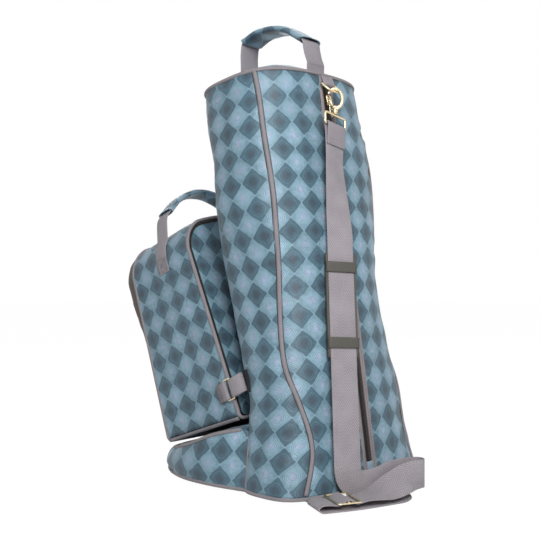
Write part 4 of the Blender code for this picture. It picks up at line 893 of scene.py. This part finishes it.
def box_stitch(corner, wide, high, out, cross=True):
    """Sewn square with a cross in it: corner is its lower left, wide and high its edges as vectors."""
    a, b, c, d = corner, corner + wide, corner + wide + high, corner + high
    made = []
    for p, q in ((a, b), (b, c), (c, d), (d, a)) + (((a, c), (b, d)) if cross else ()):
        made += thread_run([p, q], out, *WEB_STITCH)
    return made


def padded_sleeve(line, side, width, thick, seed):
    """Padded cloth wrapped round webbing, with folds across it and a slight flare at its ends."""
    run = run_length(line)
    t = unit(np.gradient(line, axis=0))
    w = unit(np.broadcast_to(side, line.shape) - t * (t @ side)[:, None])
    face = np.cross(t, w)
    a = np.linspace(0, 2 * math.pi, 49)
    c, q = np.cos(a), np.sin(a)
    across = np.sign(c) * np.abs(c) ** 0.62
    out = np.sign(q) * np.abs(q) ** 0.75
    fold = 1 + 0.05 * ripple(run[:, None] / 0.012 + c[None] * 0.6, q[None] * 0.9 + 4, seed)
    fold = fold + 0.035 * ripple(run[:, None] / 0.005, c[None] * 1.5, seed + 2)
    close = np.minimum(run, run[-1] - run)[:, None]
    flare = 1 + 0.06 * np.exp(-close / 0.004)
    P = (line[:, None] + w[:, None] * (across * width / 2 * flare)[..., None]
         + face[:, None] * (out * thick / 2 * fold * flare)[..., None])
    around = run_length(np.stack([across * width / 2, out * thick / 2], axis=-1))
    lens = np.stack(np.broadcast_arrays(run[:, None], around[None]), axis=-1)
    return P, lens


def top_handle():
    x0, x1, top = -0.098, 0.036, 0.664
    span = x1 - x0
    arch = lambda x, drop: np.array([x, 0, top - drop])
    stub = 0.0055
    legs = {"front": (dome_point(x0), -AX, ((x0 - 0.0006, 0.045), (x0 - 0.0008, 0.0260),
                                            (x0 + 0.0035, 0.0098), (x0 + 0.020, 0.0045))),
            "back": (dome_point(x1), AX, ((x1 - 0.0040, 0.0510), (x1 - 0.0072, 0.0390),
                                          (x1 - 0.0102, 0.0284), (x1 - 0.024, 0.0185)))}
    for name, (foot, face, bends) in legs.items():
        line = [foot + AZ * h for h in (-0.002, stub, 0.013)] + [arch(x, drop) for x, drop in bends]
        web = piece("handle_web_" + name, ribbon(spline(line, 8), AY, STRAP_W), WEBBING, None,
                    ("handle_leg_" + name, "handle_anchor_" + name))
        sew = []
        for h in (0.010, 0.0115):
            sew += sewn_across(foot + AZ * h + face * (WEB_T / 2), AY, 0.017, face)
        sewing = piece("handle_sewing_" + name, gather(sew), THREAD, None)
        for ob in (web, sewing):
            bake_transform(ob)
    grip = spline([arch(x0 + 0.0044, 0.0088), arch(x0 + 0.26 * span, -0.0005),
                   arch(x0 + 0.60 * span, 0.0035), arch(x1 - 0.0107, 0.0272)], 20)
    P, lens = padded_sleeve(even(grip, 0.0012), AY, 0.044, 0.0105, 81)
    ob = sheet("handle_sleeve", P, lens, CLOTH, "top_handle", ("handle_grip",), 0.0012)


# Ring, hook and strap

def ring_wire(name, pts, thick, rides, stands_for):
    """Round wire bent to a closed ring."""
    piece(name, sweep(pts, oval(thick, thick, 16), closed=True), GILT, rides, stands_for)


def square_ring(a, b, along, half, thick):
    """Line of a bent wire rectangle with bars centred on a and b."""
    down = unit(b - a)
    r = thick * 0.75
    pts = []
    for at, s, turn in ((a, 1, 270), (b, 1, 0), (b, -1, 90), (a, -1, 180)):
        centre = at + along * s * (half - r) + (down if at is a else -down) * r
        pts.append(arc(centre, along, down, r, turn, turn + 90, 7))
    return even_loop(np.vstack(pts), 0.0012)


# The D ring's wire radius and straight legs, and how far its bar lies below the rim
RING_R, RING_LEG, RING_DROP = 0.0016, 0.0040, 0.0150
HOOK_R, HOOK_HIGH = 0.0022, 0.0345


def ring_tab():
    """Sewn tab that holds the D ring; gives the middle of the ring's bar."""
    n, up = OUT_BACK, UP_BACK
    r = RING_R + GAP + WEB_T / 2
    z = RIM_Z - RING_DROP
    rod = np.array([back_x(z), 0, z]) + n * (CHAIN_RISE + GAP + WEB_T / 2 + r)
    top = up * (RING_DROP - PIPE_R - 3 * GAP) / up[2]
    front = rod + n * (WEB_T + GAP - r)
    line = np.vstack([[rod - n * r + top], arc(rod, -n, -up, r, 0, 180, 9), [front + top]])
    piece("ring_tab_web", ribbon(line, AY, TAB_W), WEBBING, "bag", ("ring_tab_top",))
    sewing = gather(sewn_across(front + top + n * WEB_T * 0.55 - up * 0.004, AY, 0.011, n))
    piece("ring_tab_sewing", sewing, THREAD, "bag")
    return rod


def d_ring(rod):
    """Wire bent to a D; gives the middle of its bow."""
    half = TAB_W / 2 + RING_R + GAP
    tip = math.radians(38)
    bow = unit(-UP_BACK * math.cos(tip) + OUT_BACK * math.sin(tip))
    bend = RING_R * 1.25
    ring = np.vstack([arc(rod + AY * (half - bend) + bow * bend, AY, bow, bend, 270, 360, 5),
                      arc(rod + bow * RING_LEG, AY, bow, half, 0, 180, 33),
                      arc(rod + AY * (bend - half) + bow * bend, AY, bow, bend, 180, 270, 5)])
    ring_wire("d_ring_wire", even_loop(ring, 0.0011), 2 * RING_R, "d_ring_top", ("d_ring_top",))
    return rod + bow * (RING_LEG + half)


def snap_hook(crest):
    """Cast hook in the bow of the D ring, its spring gate and its swivel eye; gives the low bar of the
    eye, the way down from it and the way along it."""
    lean, turn = math.radians(10), math.radians(52)
    stem = unit(UP_BACK * math.cos(lean) + AY * math.sin(lean))
    across = unit(AY * math.cos(lean) - UP_BACK * math.sin(lean))
    lat = unit(OUT_BACK * math.sin(turn) + across * math.cos(turn))
    seat = crest - stem * (HOOK_HIGH - HOOK_R - 2 * GAP - RING_R)
    at = lambda u, w: seat + lat * u + stem * w
    hook = spline([at(*p) for p in (
        (0.0004, 0.0036), (0.0070, 0.0080), (0.0098, 0.0155), (0.0093, 0.0242), (0.0050, 0.0318),
        (-0.0010, HOOK_HIGH), (-0.0070, 0.0318), (-0.0097, 0.0268))], 8)
    size = np.interp(np.linspace(0, 1, len(hook)), (0, 0.12, 0.3, 0.6, 0.93, 1),
                     (1.5, 1.15, 1.1, 1.0, 0.95, 0.7))
    barrel = ((-0.0046, 0.7), (-0.0044, 0.95), (-0.0034, 0.95), (-0.0032, 0.72), (-0.0010, 0.72),
              (-0.0007, 1.0), (0.0012, 1.0), (0.0016, 0.80), (0.0038, 0.80), (0.0050, 0.6), (0.0056, 0.3))
    casting = gather([
        sweep(hook, oval(2 * HOOK_R, 2 * HOOK_R, 16), scale=size),
        sweep([at(0, h) for h, _ in barrel], oval(0.0084, 0.0084, 20), scale=[wide for _, wide in barrel]),
        sweep([at(-0.0046, 0.0062), at(0.0030, 0.0062)], oval(0.0044, 0.0052), out=stem)])
    piece("snap_hook_casting", casting, GILT, "bag", ("hook_top",))
    foot, end = at(-0.0028, 0.0062), at(-0.0101, 0.0244)
    knob = foot * 0.45 + end * 0.55
    gate = gather([
        sweep([foot, foot * 0.5 + end * 0.5, end], oval(0.0029, 0.0029), scale=[1, 1, 0.9]),
        sweep([knob, knob - lat * 0.0022, knob - lat * 0.0028], oval(0.0030, 0.0030), scale=[1, 1, 0.6])])
    piece("snap_hook_gate", gate, GILT, "hook_gate", ("hook_gate",))
    top_bar = at(0, -0.0044) - stem * (GAP + EYE_R)
    low_bar = top_bar - stem * (EYE_HIGH - 2 * EYE_R)
    eye = square_ring(top_bar, low_bar, across, EYE_HALF, 2 * EYE_R)
    ring_wire("swivel_eye_wire", eye, 2 * EYE_R, "bag", ("hook_eye",))
    return low_bar, -stem, across


STRAP_OFF, STRAP_TURN, STRAP_TOP_Z, STRAP_LOW_Z = 0.0165, 27, 0.355, 0.070
STRAP_TOP_Y, STRAP_LOW_Y, PAD_Z = -0.0275, -0.0660, 0.255


def strap_line(z):
    f = (STRAP_TOP_Z - z) / (STRAP_TOP_Z - STRAP_LOW_Z)
    return np.array([back_x(z) + STRAP_OFF, STRAP_TOP_Y + (STRAP_LOW_Y - STRAP_TOP_Y) * f, z])


def strap_dirs():
    a = math.radians(STRAP_TURN)
    t = np.array([math.sin(a), math.cos(a), 0])
    return t, np.array([t[1], -t[0], 0])


def heel_ring():
    """Middles of the two bars of the low ring."""
    a = np.array([back_x(0.0145) + 0.0112, 0, 0.0145])
    return a, np.array([a[0] + 0.0155, 0, EYE_R + WEB_T + 2 * GAP + 0.0005])


def shoulder_strap(low_bar, down, across):
    """One webbing: round the swivel eye, down the back, folded through the buckle on the floor and round
    the low ring.  Each step of its path is a point and the way its width lies there."""
    n, z, r = OUT_BACK, AZ, EYE_TURN
    t, o = strap_dirs()
    fold = lambda c, inner, beyond: arc(c, inner, beyond, r, 0, 180, 5)
    hang = lambda drop, off: (low_bar + down * drop + n * r * off, across)
    path = [hang(0.030, 0.42), hang(0.010, 0.72)]
    path += [(p, across) for p in fold(low_bar, n, -down)]
    path += [hang(0.010, -0.72), hang(0.030, -0.40), hang(0.065, -0.30)]
    for h in (STRAP_TOP_Z, STRAP_TOP_Z - 0.020, 0.30, 0.20, 0.12, STRAP_LOW_Z, 0.050):
        path.append((strap_line(h), t))
    foot = strap_line(0.042)
    home = np.array([foot[0], foot[1], 0])
    edge = STRAP_W / 2 + 0.001
    turn = edge + 0.002
    at = lambda s, out, h: home + t * s + o * out + z * h
    for a in np.radians((0, 30, 60, 90)):
        path.append((at(turn * (1 - math.cos(a)), 0, edge + turn * (1 - math.sin(a))),
                     t * math.cos(a) + z * math.sin(a)))
    path += [(at(s, 0, edge + h), z) for s, h in ((0.045, 0.003), (0.066, 0.010), (0.088, 0.012))]
    for a in np.radians((0, 45, 90, 135, 180)):
        path.append((at(0.098 + 0.009 * math.sin(a), 0.009 - 0.009 * math.cos(a), edge + 0.012), z))
    spare = 0.026           # from the hanging length out to the spare length that lies flat
    path += [(at(0.080, 0.0195, edge + 0.010), z * 0.95 - o * 0.3),
             (at(0.055, 0.0235, edge + 0.002), z - o), (at(0.030, spare, 0.0150), z * 0.25 - o)]
    for s, h in ((0.010, 0.0118), (-0.006, 0.0092), (-0.0125, 0.0122), (-0.019, 0.0152), (-0.0255, 0.0122),
                 (-0.032, 0.0092), (-0.045, 0.0106), (-0.0545, 0.0104), (-0.0595, 0.0063),
                 (-0.0545, 0.0022), (-0.045, 0.0016)):
        path.append((at(s, spare, h), -o))
    path.append((at(0.0, 0.0245, 0.0015), -o))
    _, low = heel_ring()
    swing = 0.022
    centre = np.array([low[0] + 0.0045, -swing, 0.0015])
    for a in np.radians((-27, 0, 30, 60, 84)):
        out = AX * math.cos(a) + AY * math.sin(a)
        path.append((centre + out * swing, -out))
    path.append((np.array([low[0] + 0.001, 0, low[2] - r]), -AY))
    path += [(p, -AY) for p in fold(low, -z, -AX)[1:]]
    path += [(low + AX * 0.010 + z * (r * 0.55), -AY), (low + AX * 0.022 + z * (r * 0.10), -AY)]
    line, ways = spline([p for p, _ in path], 6), spline([way for _, way in path], 6)
    piece("shoulder_strap_web", ribbon(line, ways, STRAP_W), WEBBING, "bag", ("shoulder_strap",))
    sew = []
    front = n * (r * 0.42 + WEB_T * 0.5 + 0.0001)
    for drop in (0.0215, 0.0262):
        sew += sewn_across(low_bar + down * drop + front, across, 0.0165, n, STRAP_STITCH)
    piece("strap_end_sewing", gather(sew), THREAD, "bag")
    c = at(-0.019, spare, 0.0122)
    loop = square_ring(c - t * 0.01555, c + t * 0.01555, o, 0.0228, 0.0030)
    section = oval(0.0030, 0.0020)
    buckle = gather([sweep(loop, section, out=z, closed=True),
                     sweep([c - o * 0.0225, c + o * 0.0225], section, out=z)])
    piece("strap_slide_buckle", buckle, GILT, "bag", ("strap_adjuster",))


def low_ring():
    """Tab and wire ring at the heel, where the strap ends."""
    a, b = heel_ring()
    sewn = a - AX * (a[0] - back_x(a[2]) - 2 * GAP)
    half = (WEB_T + GAP) / 2
    line = np.vstack([[sewn - AZ * half], arc(a, -AZ, AX, EYE_TURN, 0, 180, 9), [sewn + AZ * half]])
    piece("low_tab_web", ribbon(line, AY, TAB_W), WEBBING, "bag", ("ring_tab_low",))
    ring_wire("low_ring_wire", square_ring(a, b, AY, EYE_HALF, 2 * EYE_R), 2 * EYE_R, "bag", ("ring_low",))


def slide_pad():
    """Moulded slide on the strap: a back plate, a raised rail down each edge and two bands across."""
    t, _ = strap_dirs()
    up = unit(strap_line(STRAP_TOP_Z) - strap_line(STRAP_LOW_Z))
    x = unit(t - up * (t @ up))
    out = np.cross(x, up)
    at = strap_line(PAD_Z)
    wide, long, plate, rail, band, band_high = 0.0445, 0.142, 0.0038, 0.0034, 0.0024, 0.0145
    room = WEB_T / 2 + GAP
    place = lambda a, b, c: at + x * a + up * b + out * c
    # Share of the length, then of width and thickness, from one end to the middle
    half = np.array([(-0.5, 0.86, 0.5), (-0.497, 0.93, 0.8), (-0.488, 0.98, 1),
                     (-0.46, 1, 1), (-0.2, 1, 1)])
    both = np.vstack([half, half[::-1] * (-1, 1, 1)])
    ends, size = both[:, 0] * long, both[:, 1:]
    spine = [place(0, e, -room - plate / 2) for e in ends]
    made = [sweep(spine, bar(wide, plate, 0.0014, 4), side=x, scale=size)]
    for s in (-1, 1):
        line = [place(s * (wide - rail) / 2, e, -room - 0.0004) for e in ends]
        made.append(sweep(line, bar(rail, 0.0044, 0.0014, 4), side=x, scale=size))
    for s in (-1, 1):
        mid = s * (long / 2 - 0.012 - band_high / 2)
        line = [place(k * (wide / 2 - 0.0002), mid, room + band / 2 + 0.0006 * (1 - k ** 2))
                for k in np.linspace(-1, 1, 17)]
        made.append(sweep(line, bar(band_high, band, 0.0009, 4), side=up))
        for e in (-1, 1):
            post = [place(e * (wide - rail) / 2, mid, h) for h in (-room - 0.001, room + band * 0.8)]
            made.append(sweep(post, bar(rail, band_high, 0.0010), side=x))
    ob = piece("shoulder_slide_pad", gather(made), PAD, "shoulder_pad", ("shoulder_pad",))


def zip_pulls():
    """Slider with its bridge, and the pull hanging from it."""
    high = 0.0036
    at = np.array([back_x(SLIDER_Z), 0, SLIDER_Z]) + OUT_BACK * (CHAIN_RISE + GAP + high / 2)
    place = lambda a, b, c: at + AY * a + UP_BACK * b + OUT_BACK * c
    # Height along the slider, then its share of width and thickness
    wedge = np.array([(-0.0075, 0.68, 0.6), (-0.0070, 0.72, 1), (-0.003, 0.80, 1), (0.003, 0.95, 1),
                      (0.0070, 1, 1), (0.0075, 0.96, 0.6)])
    spine = [place(0, e, 0) for e in wedge[:, 0]]
    bridge = [place(0, b, c) for b, c in ((0.0055, 0.0012), (0.0052, 0.0022), (0.0030, 0.0027),
                                          (0.0, 0.0028), (-0.0030, 0.0024), (-0.0040, 0.0012))]
    casting = gather([sweep(spine, bar(0.0110, high, 0.0009, 4), side=AY, scale=wedge[:, 1:]),
                      sweep(bridge, bar(0.0026, 0.0011, 0.0004), side=AY)])
    piece("zip_slider_casting", casting, GILT, "zip_slider", ("zip_slider",))
    pull = lambda a, b: place(a, b, high / 2 + GAP + 0.0007)
    half = ((0.0022, 0.0015), (0.0026, -0.004), (0.0027, -0.012), (0.0027, -0.020), (0.0016, -0.0232))
    outline = half + ((0, -0.0238),) + tuple((-a, b) for a, b in reversed(half))
    loop = spline([pull(a, b) for a, b in outline], 4, True)
    casting = gather([
        sweep(loop, oval(0.0016, 0.0014, 10), out=OUT_BACK, closed=True),
        sweep([pull(-0.0026, -0.0075), pull(0.0026, -0.0075)], oval(0.0016, 0.0012, 10), out=OUT_BACK)])
    piece("zip_pull_casting", casting, GILT, "zip_pull", ("zip_pull",))


# Front pouch

POUCH_HALF, POUCH_CROWN, POUCH_CORNER, POUCH_DOME = 0.115, 0.022, 0.042, 0.028
BACK_LOW, BACK_TOP = np.array([-0.0045, 0.0965]), np.array([-0.1286, 0.3678])
FRONT_LOW, FRONT_TOP = np.array([-0.1564, 0.0434]), np.array([-0.2550, 0.3240])
POUCH_LONG = float(np.linalg.norm(BACK_TOP - BACK_LOW))
POUCH_UP = unit(np.array([BACK_TOP[0] - BACK_LOW[0], 0, BACK_TOP[1] - BACK_LOW[1]]))
POUCH_OUT = np.array([POUCH_UP[2], 0, -POUCH_UP[0]])
FACE_RUN = FRONT_TOP - FRONT_LOW
FACE_UP = unit(np.array([FACE_RUN[0], 0, FACE_RUN[1]]))
FACE_OUT = unit(np.array([-FACE_RUN[1], 0, FACE_RUN[0]]))
POUCH_STEPS = np.linspace(0.004, 0.996, 60)                             # back to front
PANEL_RINGS = (1 - 0.99 * np.linspace(0, 1, 40) ** 2.4)[:, None, None]  # a panel's edge to its centre


def pouch_pt(d, y, h):
    """Point in the pouch: d from back to front, y across, h along its height."""
    d, y, h = np.broadcast_arrays(np.asarray(d, float), np.asarray(y, float), np.asarray(h, float))
    f = h / POUCH_LONG
    low = BACK_LOW + (FRONT_LOW - BACK_LOW) * d[..., None]
    top = BACK_TOP + (FRONT_TOP - BACK_TOP) * d[..., None]
    p = low + (top - low) * f[..., None]
    return np.stack([p[..., 0], y, p[..., 1]], axis=-1)


def pouch_line(d, outline):
    """An outline of (y, h) set at one depth of the pouch."""
    return pouch_pt(d, outline[..., 0], outline[..., 1])


def pouch_arch(inset, low):
    """Outline up one side, over the crown and down the other, as (y, h)."""
    w, r, top = POUCH_HALF - inset, POUCH_CORNER - inset, POUCH_LONG - inset
    half = [(-w, h) for h in np.linspace(low, top - r, 40)]
    half += [(-(w - r) - r * math.cos(a), top - r + r * math.sin(a))
             for a in np.linspace(0, math.pi / 2, 20)[1:]]
    half += [(-(w - r) * (1 - k / 20), top) for k in range(1, 21)]
    both = np.array(half + [(-y, h) for y, h in reversed(half[:-1])])
    mid = POUCH_LONG / 2
    crown = np.cos(math.pi / 2 * both[:, 0] / POUCH_HALF) * smooth((both[:, 1] - mid) / mid)
    both[:, 1] += POUCH_CROWN * crown
    return both


def pouch_ring(inset, low=None):
    """Closed outline with small bottom corners."""
    low = inset if low is None else low
    r = 0.007
    arch = pouch_arch(inset, low + r)
    y0 = POUCH_HALF - inset
    turn = [(y0 - r * (1 - math.cos(a)), low + r - r * math.sin(a))
            for a in np.linspace(0.2, math.pi / 2, 6)]
    floor = [((y0 - r) * f, low) for f in np.linspace(0.95, -0.95, 30)]
    return np.array(arch.tolist() + turn + floor + [(-y, h) for y, h in reversed(turn)])


def pouch_sides():
    """One cloth up the near side, over the crown and down the far side."""
    d = POUCH_STEPS
    arch = pouch_arch(0.0, 0.003)
    P = pouch_line(d[:, None], arch[None])
    run = run_length(pouch_line(0.5, arch))
    deep = np.linalg.norm(P[-1] - P[0], axis=-1)
    lens = np.stack(np.broadcast_arrays(deep * (0.5 - d)[:, None], run - run[-1] / 2), axis=-1)
    away = np.minimum(np.minimum(d, 1 - d)[:, None] * deep, np.minimum(run, run[-1] - run))
    P = swell(P, away, lens, 0.0016, 91)
    for depth, high, along, long, wide, groove in (
            (0.30, 0.050, (0.55, 0, 0.85), 0.035, 0.012, 0.0030),
            (0.55, 0.035, (0.9, 0, 0.4), 0.030, 0.011, 0.0026),
            (0.25, 0.225, (0.8, 0, -0.5), 0.030, 0.012, 0.0022)):
        P = crease(P, pouch_pt(depth, -POUCH_HALF, high), along, long, wide, groove)
    sheet("pouch_side_cloth", P, lens, CLOTH, "pouch", ("pouch_gusset",))


def pouch_floor():
    d = POUCH_STEPS[:, None]
    y = np.linspace(POUCH_HALF - 0.001, 0.001 - POUCH_HALF, 40)
    sag = 0.0022 * np.sin(math.pi * d) * np.cos(y / POUCH_HALF * math.pi / 2)
    P = pouch_pt(d, y, 0.0) - AZ * sag[..., None]
    lens = np.stack(np.broadcast_arrays(y, d * 0.16), axis=-1)
    # Painted shade: the floor is dark brown, as the printed cloth looks in shadow.
    sheet("pouch_floor_cloth", P, lens, PAINTED_SHADE_CLOTH, "pouch", ("pouch_bottom",))


def pouch_front():
    """Front panel, dark brown as painted shade: a full swell that falls off close to its edge, and less of
    it at the foot.
    """
    ring = looped(pouch_line(1.0, pouch_ring(0.001)))
    centre = ring[:-1].mean(axis=0)
    f = PANEL_RINGS
    lid = np.interp(f, (0, 0.55, 0.80, 0.93, 0.958, 0.975, 0.985, 0.992, 1),
                    (1, 1, 0.97, 0.91, 0.85, 0.74, 0.60, 0.40, 0))
    share = (0.12 + 0.88 * smooth((ring[:, 2] - ring[:, 2].min() - 0.09) / 0.15))[None, :, None]
    P = centre + (ring - centre)[None] * f + FACE_OUT * POUCH_DOME * lid * (0.7 + (share - 0.7) * f ** 2)
    lens = np.stack([P[..., 1], P @ FACE_UP], axis=-1)
    P = swell(P, (1 - f[..., 0]) * 0.1, lens, 0.0006, 97)
    sheet("pouch_front_cloth", P, lens, PAINTED_SHADE_CLOTH, "pouch", ("pouch_front",))


def pouch_back():
    """Back panel, bowed into the pouch so that it stays clear of the shaft as the pouch tilts."""
    ring = looped(pouch_line(0.0, pouch_ring(0.0080, 0.0036))[::-1])
    centre = ring[:-1].mean(axis=0)
    f = PANEL_RINGS
    P = centre + (ring - centre)[None] * f
    lens = np.stack([P[..., 1], P @ POUCH_UP], axis=-1)
    sheet("pouch_back_cloth", P - POUCH_OUT * 0.0050 * (1 - f ** 2), lens, CLOTH, "pouch", ("pouch_back",))


def pouch_seams():
    for name, depth, face in (("front", 1.0, FACE_OUT), ("back", 0.0, POUCH_OUT)):
        line = pouch_line(depth, pouch_ring(0.0))
        out = unit(unit(line - line.mean(axis=0)) + face * 0.5)
        seam_cord("pouch_cord_" + name, line, out, ("pouch_piping_" + name,), "pouch", True, 0.0054)
    for name, s in FLANKS:
        line = pouch_pt(np.linspace(0.02, 0.98, 40), s * POUCH_HALF, 0.0)
        out = unit(AY * s - AZ * 0.8)
        seam_cord("pouch_cord_" + name, line, out, ("pouch_piping_" + name,), "pouch", wide=0.0054)


def pouch_zip():
    """Tape and coil round the back edge: a zip for the pouch's opening, whose black line along the back
    piping is also painted shade.
    """
    inner, outer = pouch_arch(0.0076, 0.012), pouch_arch(0.0022, 0.012)
    mix = np.linspace(0, 1, 5)[:, None, None]
    P = pouch_line(0.0, inner[None] * (1 - mix) + outer[None] * mix) + POUCH_OUT * 0.0005
    lens = np.stack(np.broadcast_arrays(run_length(outer), mix[..., 0] * 0.005), axis=-1)
    # Partly painted shade: the black tape lies where a shadow line runs along the back piping.
    sheet("pouch_zip_tape_and_shadow_line", P, lens, ZIP_TAPE, "pouch", ("pouch_zip",), 0.0008)
    line = even(pouch_line(0.0, (inner + outer) / 2), 0.0011)
    across = np.cross(unit(np.gradient(line, axis=0)), POUCH_OUT)
    made = []
    for k in range(1, len(line) - 1):
        way = across[k] if k % 2 else -across[k]
        at = line[k] + POUCH_OUT * 0.0008
        turn = [at - way * 0.0016, at + POUCH_OUT * 0.0005, at + way * 0.0006]
        made.append(sweep(turn, oval(0.0009, 0.0008, 5)))
    piece("pouch_zip_coil_and_shadow_line", gather(made), COIL, "pouch")


def pouch_pulls():
    """Slider of the pouch's zip, and its pull."""
    wide, high = 0.0050 - 2 * GAP, 0.0028
    y = POUCH_HALF - (PIPE_R + GAP) - 0.0025
    at = pouch_pt(0.0, y, 0.085) + POUCH_OUT * (GAP + high / 2)
    # Height along the slider, then its share of width and thickness
    taper = np.array([(-0.00475, 0.8, 0.7), (-0.0042, 0.9, 1), (0, 1, 1), (0.0042, 1, 1),
                      (0.00475, 0.9, 0.7)])
    spine = [at + POUCH_UP * e for e in taper[:, 0]]
    casting = sweep(spine, bar(wide, high, 0.0006), side=AY, scale=taper[:, 1:])
    piece("pouch_slider_casting", casting, GILT, "pouch_slider", ("pouch_slider",))
    hang = at + POUCH_OUT * (high / 2 + GAP + 0.0006)
    pull = lambda a, b: hang + AY * a - POUCH_UP * b
    half = ((0.0014, 0.0006), (0.0016, 0.004), (0.0016, 0.014), (0.0008, 0.0178))
    loop = spline([pull(a, b) for a, b in half + tuple((-a, b) for a, b in reversed(half))], 4, True)
    casting = gather([
        sweep(loop, oval(0.0011, 0.0011, 8), out=POUCH_OUT, closed=True),
        sweep([pull(0.0016, 0.007), pull(-0.0016, 0.007)], oval(0.0012, 0.0010, 8), out=POUCH_OUT)])
    piece("pouch_pull_casting", casting, GILT, "pouch_pull", ("pouch_pull",))


def pouch_handle():
    d, y0, wide = 0.45, POUCH_HALF - 0.010, 0.025
    arch = pouch_arch(0.0, 0.0)
    half = arch[:len(arch) // 2 + 1]
    high = half[half[:, 1] > POUCH_LONG - POUCH_CORNER]
    h0 = float(np.interp(-y0, high[:, 0], high[:, 1])) + 6 * GAP
    low, top = pouch_pt(d, 0, 0.0), pouch_pt(d, 0, POUCH_LONG)
    peak = (0.428 - low[2]) / (top[2] - low[2]) * POUCH_LONG
    side = unit(pouch_pt(0, 0, POUCH_LONG) - pouch_pt(1, 0, POUCH_LONG))
    lean = unit(top - low)
    leg = ((y0 + 0.0125, h0 - 0.046), (y0 + 0.0118, h0 - 0.030), (y0 + 0.0085, h0 - 0.010),
           (y0 + 0.003, h0 + 0.001), (y0 - 0.0010, h0 + 0.0075), (y0 - 0.011, h0 + 0.042),
           (y0 - 0.0220, peak - 0.0412), (y0 - 0.036, peak - 0.030))
    for name, s in FLANKS:
        line = spline([pouch_pt(d, s * y, h) for y, h in leg], 8)
        ob = piece("pouch_handle_web_" + name, ribbon(line, side, wide), WEBBING, None,
                   ("pouch_leg_" + name,))
        hinge = pouch_pt(d, s * y0, h0) + SHIFT
        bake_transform(ob)
        out = AY * s
        sewn = pouch_pt(d, s * (y0 + 0.0125), h0 - 0.044) + out * 0.0010
        sewing = gather(box_stitch(sewn - side * 0.0105 + lean * 0.001, side * 0.021, lean * 0.020, out))
        piece("pouch_handle_sewing_" + name, sewing, THREAD, "pouch")
    grip = [(y0 - 0.0227, peak - 0.0402), (y0 * 0.524, peak - 0.0180), (y0 * 0.238, peak - 0.0035),
            (0.0, peak)]
    both = [(-y, h) for y, h in grip] + grip[-2::-1]
    line = spline([pouch_pt(d, y, h) for y, h in both], 12)
    P, lens = padded_sleeve(even(line, 0.0012), side, 0.031, 0.0092, 103)
    ob = sheet("pouch_handle_sleeve", P, lens, CLOTH, "pouch_handle", ("pouch_grip",), 0.0012)


def side_clips():
    """Webbing tab off the shaft, a wire ring, and a loop sewn to the pouch."""
    rise, wide, thin, lift, patch = 0.042, 0.026, 0.0012, 0.0014, 0.0015
    r = thin + GAP + WEB_T / 2
    spot = pouch_pt(0.0, 0.0, rise) + POUCH_OUT * 0.036
    z = spot[2]
    for _ in range(12):
        ring = Ring(z)
        side_pts = ring.pts[(ring.fine > 30) & (ring.fine < 170)]
        k = int(np.argmin(np.abs(side_pts[:, 0] - spot[0])))
        z += spot[2] - side_pts[k, 2]
    ring = Ring(z)
    run0 = float(np.interp(-spot[0], -ring.pts[240:1361, 0], ring.run[240:1361]))
    angle = float(np.interp(run0, ring.run, ring.fine))
    plane = POUCH_HALF + 2 * GAP + WEB_T / 2 + r
    for name, s in SIDES:
        y = -s * AY
        mid = pouch_pt(0.0, -s * plane, rise)
        a, b = mid - POUCH_OUT * 0.0065, mid + POUCH_OUT * 0.0065
        loop = square_ring(a, b, POUCH_UP, wide / 2 + thin + GAP, 2 * thin)
        ring_wire("clip_wire_" + name, loop, 2 * thin, "pouch", ("clip_ring_" + name,))
        back = mid - POUCH_OUT * 0.024
        sewn = back - y * (r - WEB_T - GAP)
        line = np.vstack([[back - y * r], arc(a, -y, POUCH_OUT, r, 0, 180, 9), [sewn]])
        piece("clip_loop_web_" + name, ribbon(line, POUCH_UP, wide), WEBBING, "pouch",
              ("clip_loop_" + name,))
        corner = sewn + y * (WEB_T / 2 + 0.0001) - POUCH_UP * 0.011 + POUCH_OUT * 0.002
        sewing = gather(box_stitch(corner, POUCH_OUT * 0.010, POUCH_UP * 0.022, y, False))
        piece("clip_loop_sewing_" + name, sewing, THREAD, "pouch")
        end = np.array([spot[0], ring.at(s * run0)[1], spot[2]])
        rest = lift + patch + 9 * GAP + WEB_T / 2
        line = np.vstack([[end + y * rest], arc(b, -y, -POUCH_OUT, r, 0, 180, 9),
                          [end + y * (rest + WEB_T + GAP)]])
        piece("clip_tab_web_" + name, ribbon(line, POUCH_UP, wide), WEBBING, "pouch", ("clip_tab_" + name,))
        rows, lens = [], []
        for dz in np.linspace(-0.016, 0.016, 12):
            level = Ring(z + dz)
            runs = s * (level.s_at(angle) + np.linspace(0.010, -0.012, 12)[::s])
            rows.append(level.at(runs) + shaft_out(z + dz, runs) * (lift + patch))
            lens.append(np.stack([runs, np.full(12, dz)], axis=-1))
        sheet("clip_patch_pile_" + name, rows, lens, PILE, "bag", ("clip_patch_" + name,), patch)


camera()
lamps()
white_world()
paper_floor()
front_panel()
back_panels()
zip_bindings()
zip_chain()
zip_end()
shaft_seams()
base_and_toe_seams()
toe_side()
toe_top()
toe_side_seams()
top_cloth()
feet()
top_handle()
low_bar, strap_down, strap_across = snap_hook(d_ring(ring_tab()))
shoulder_strap(low_bar, strap_down, strap_across)
low_ring()
slide_pad()
zip_pulls()
pouch_sides()
pouch_floor()
pouch_front()
pouch_back()
pouch_seams()
pouch_zip()
pouch_pulls()
pouch_handle()
side_clips()
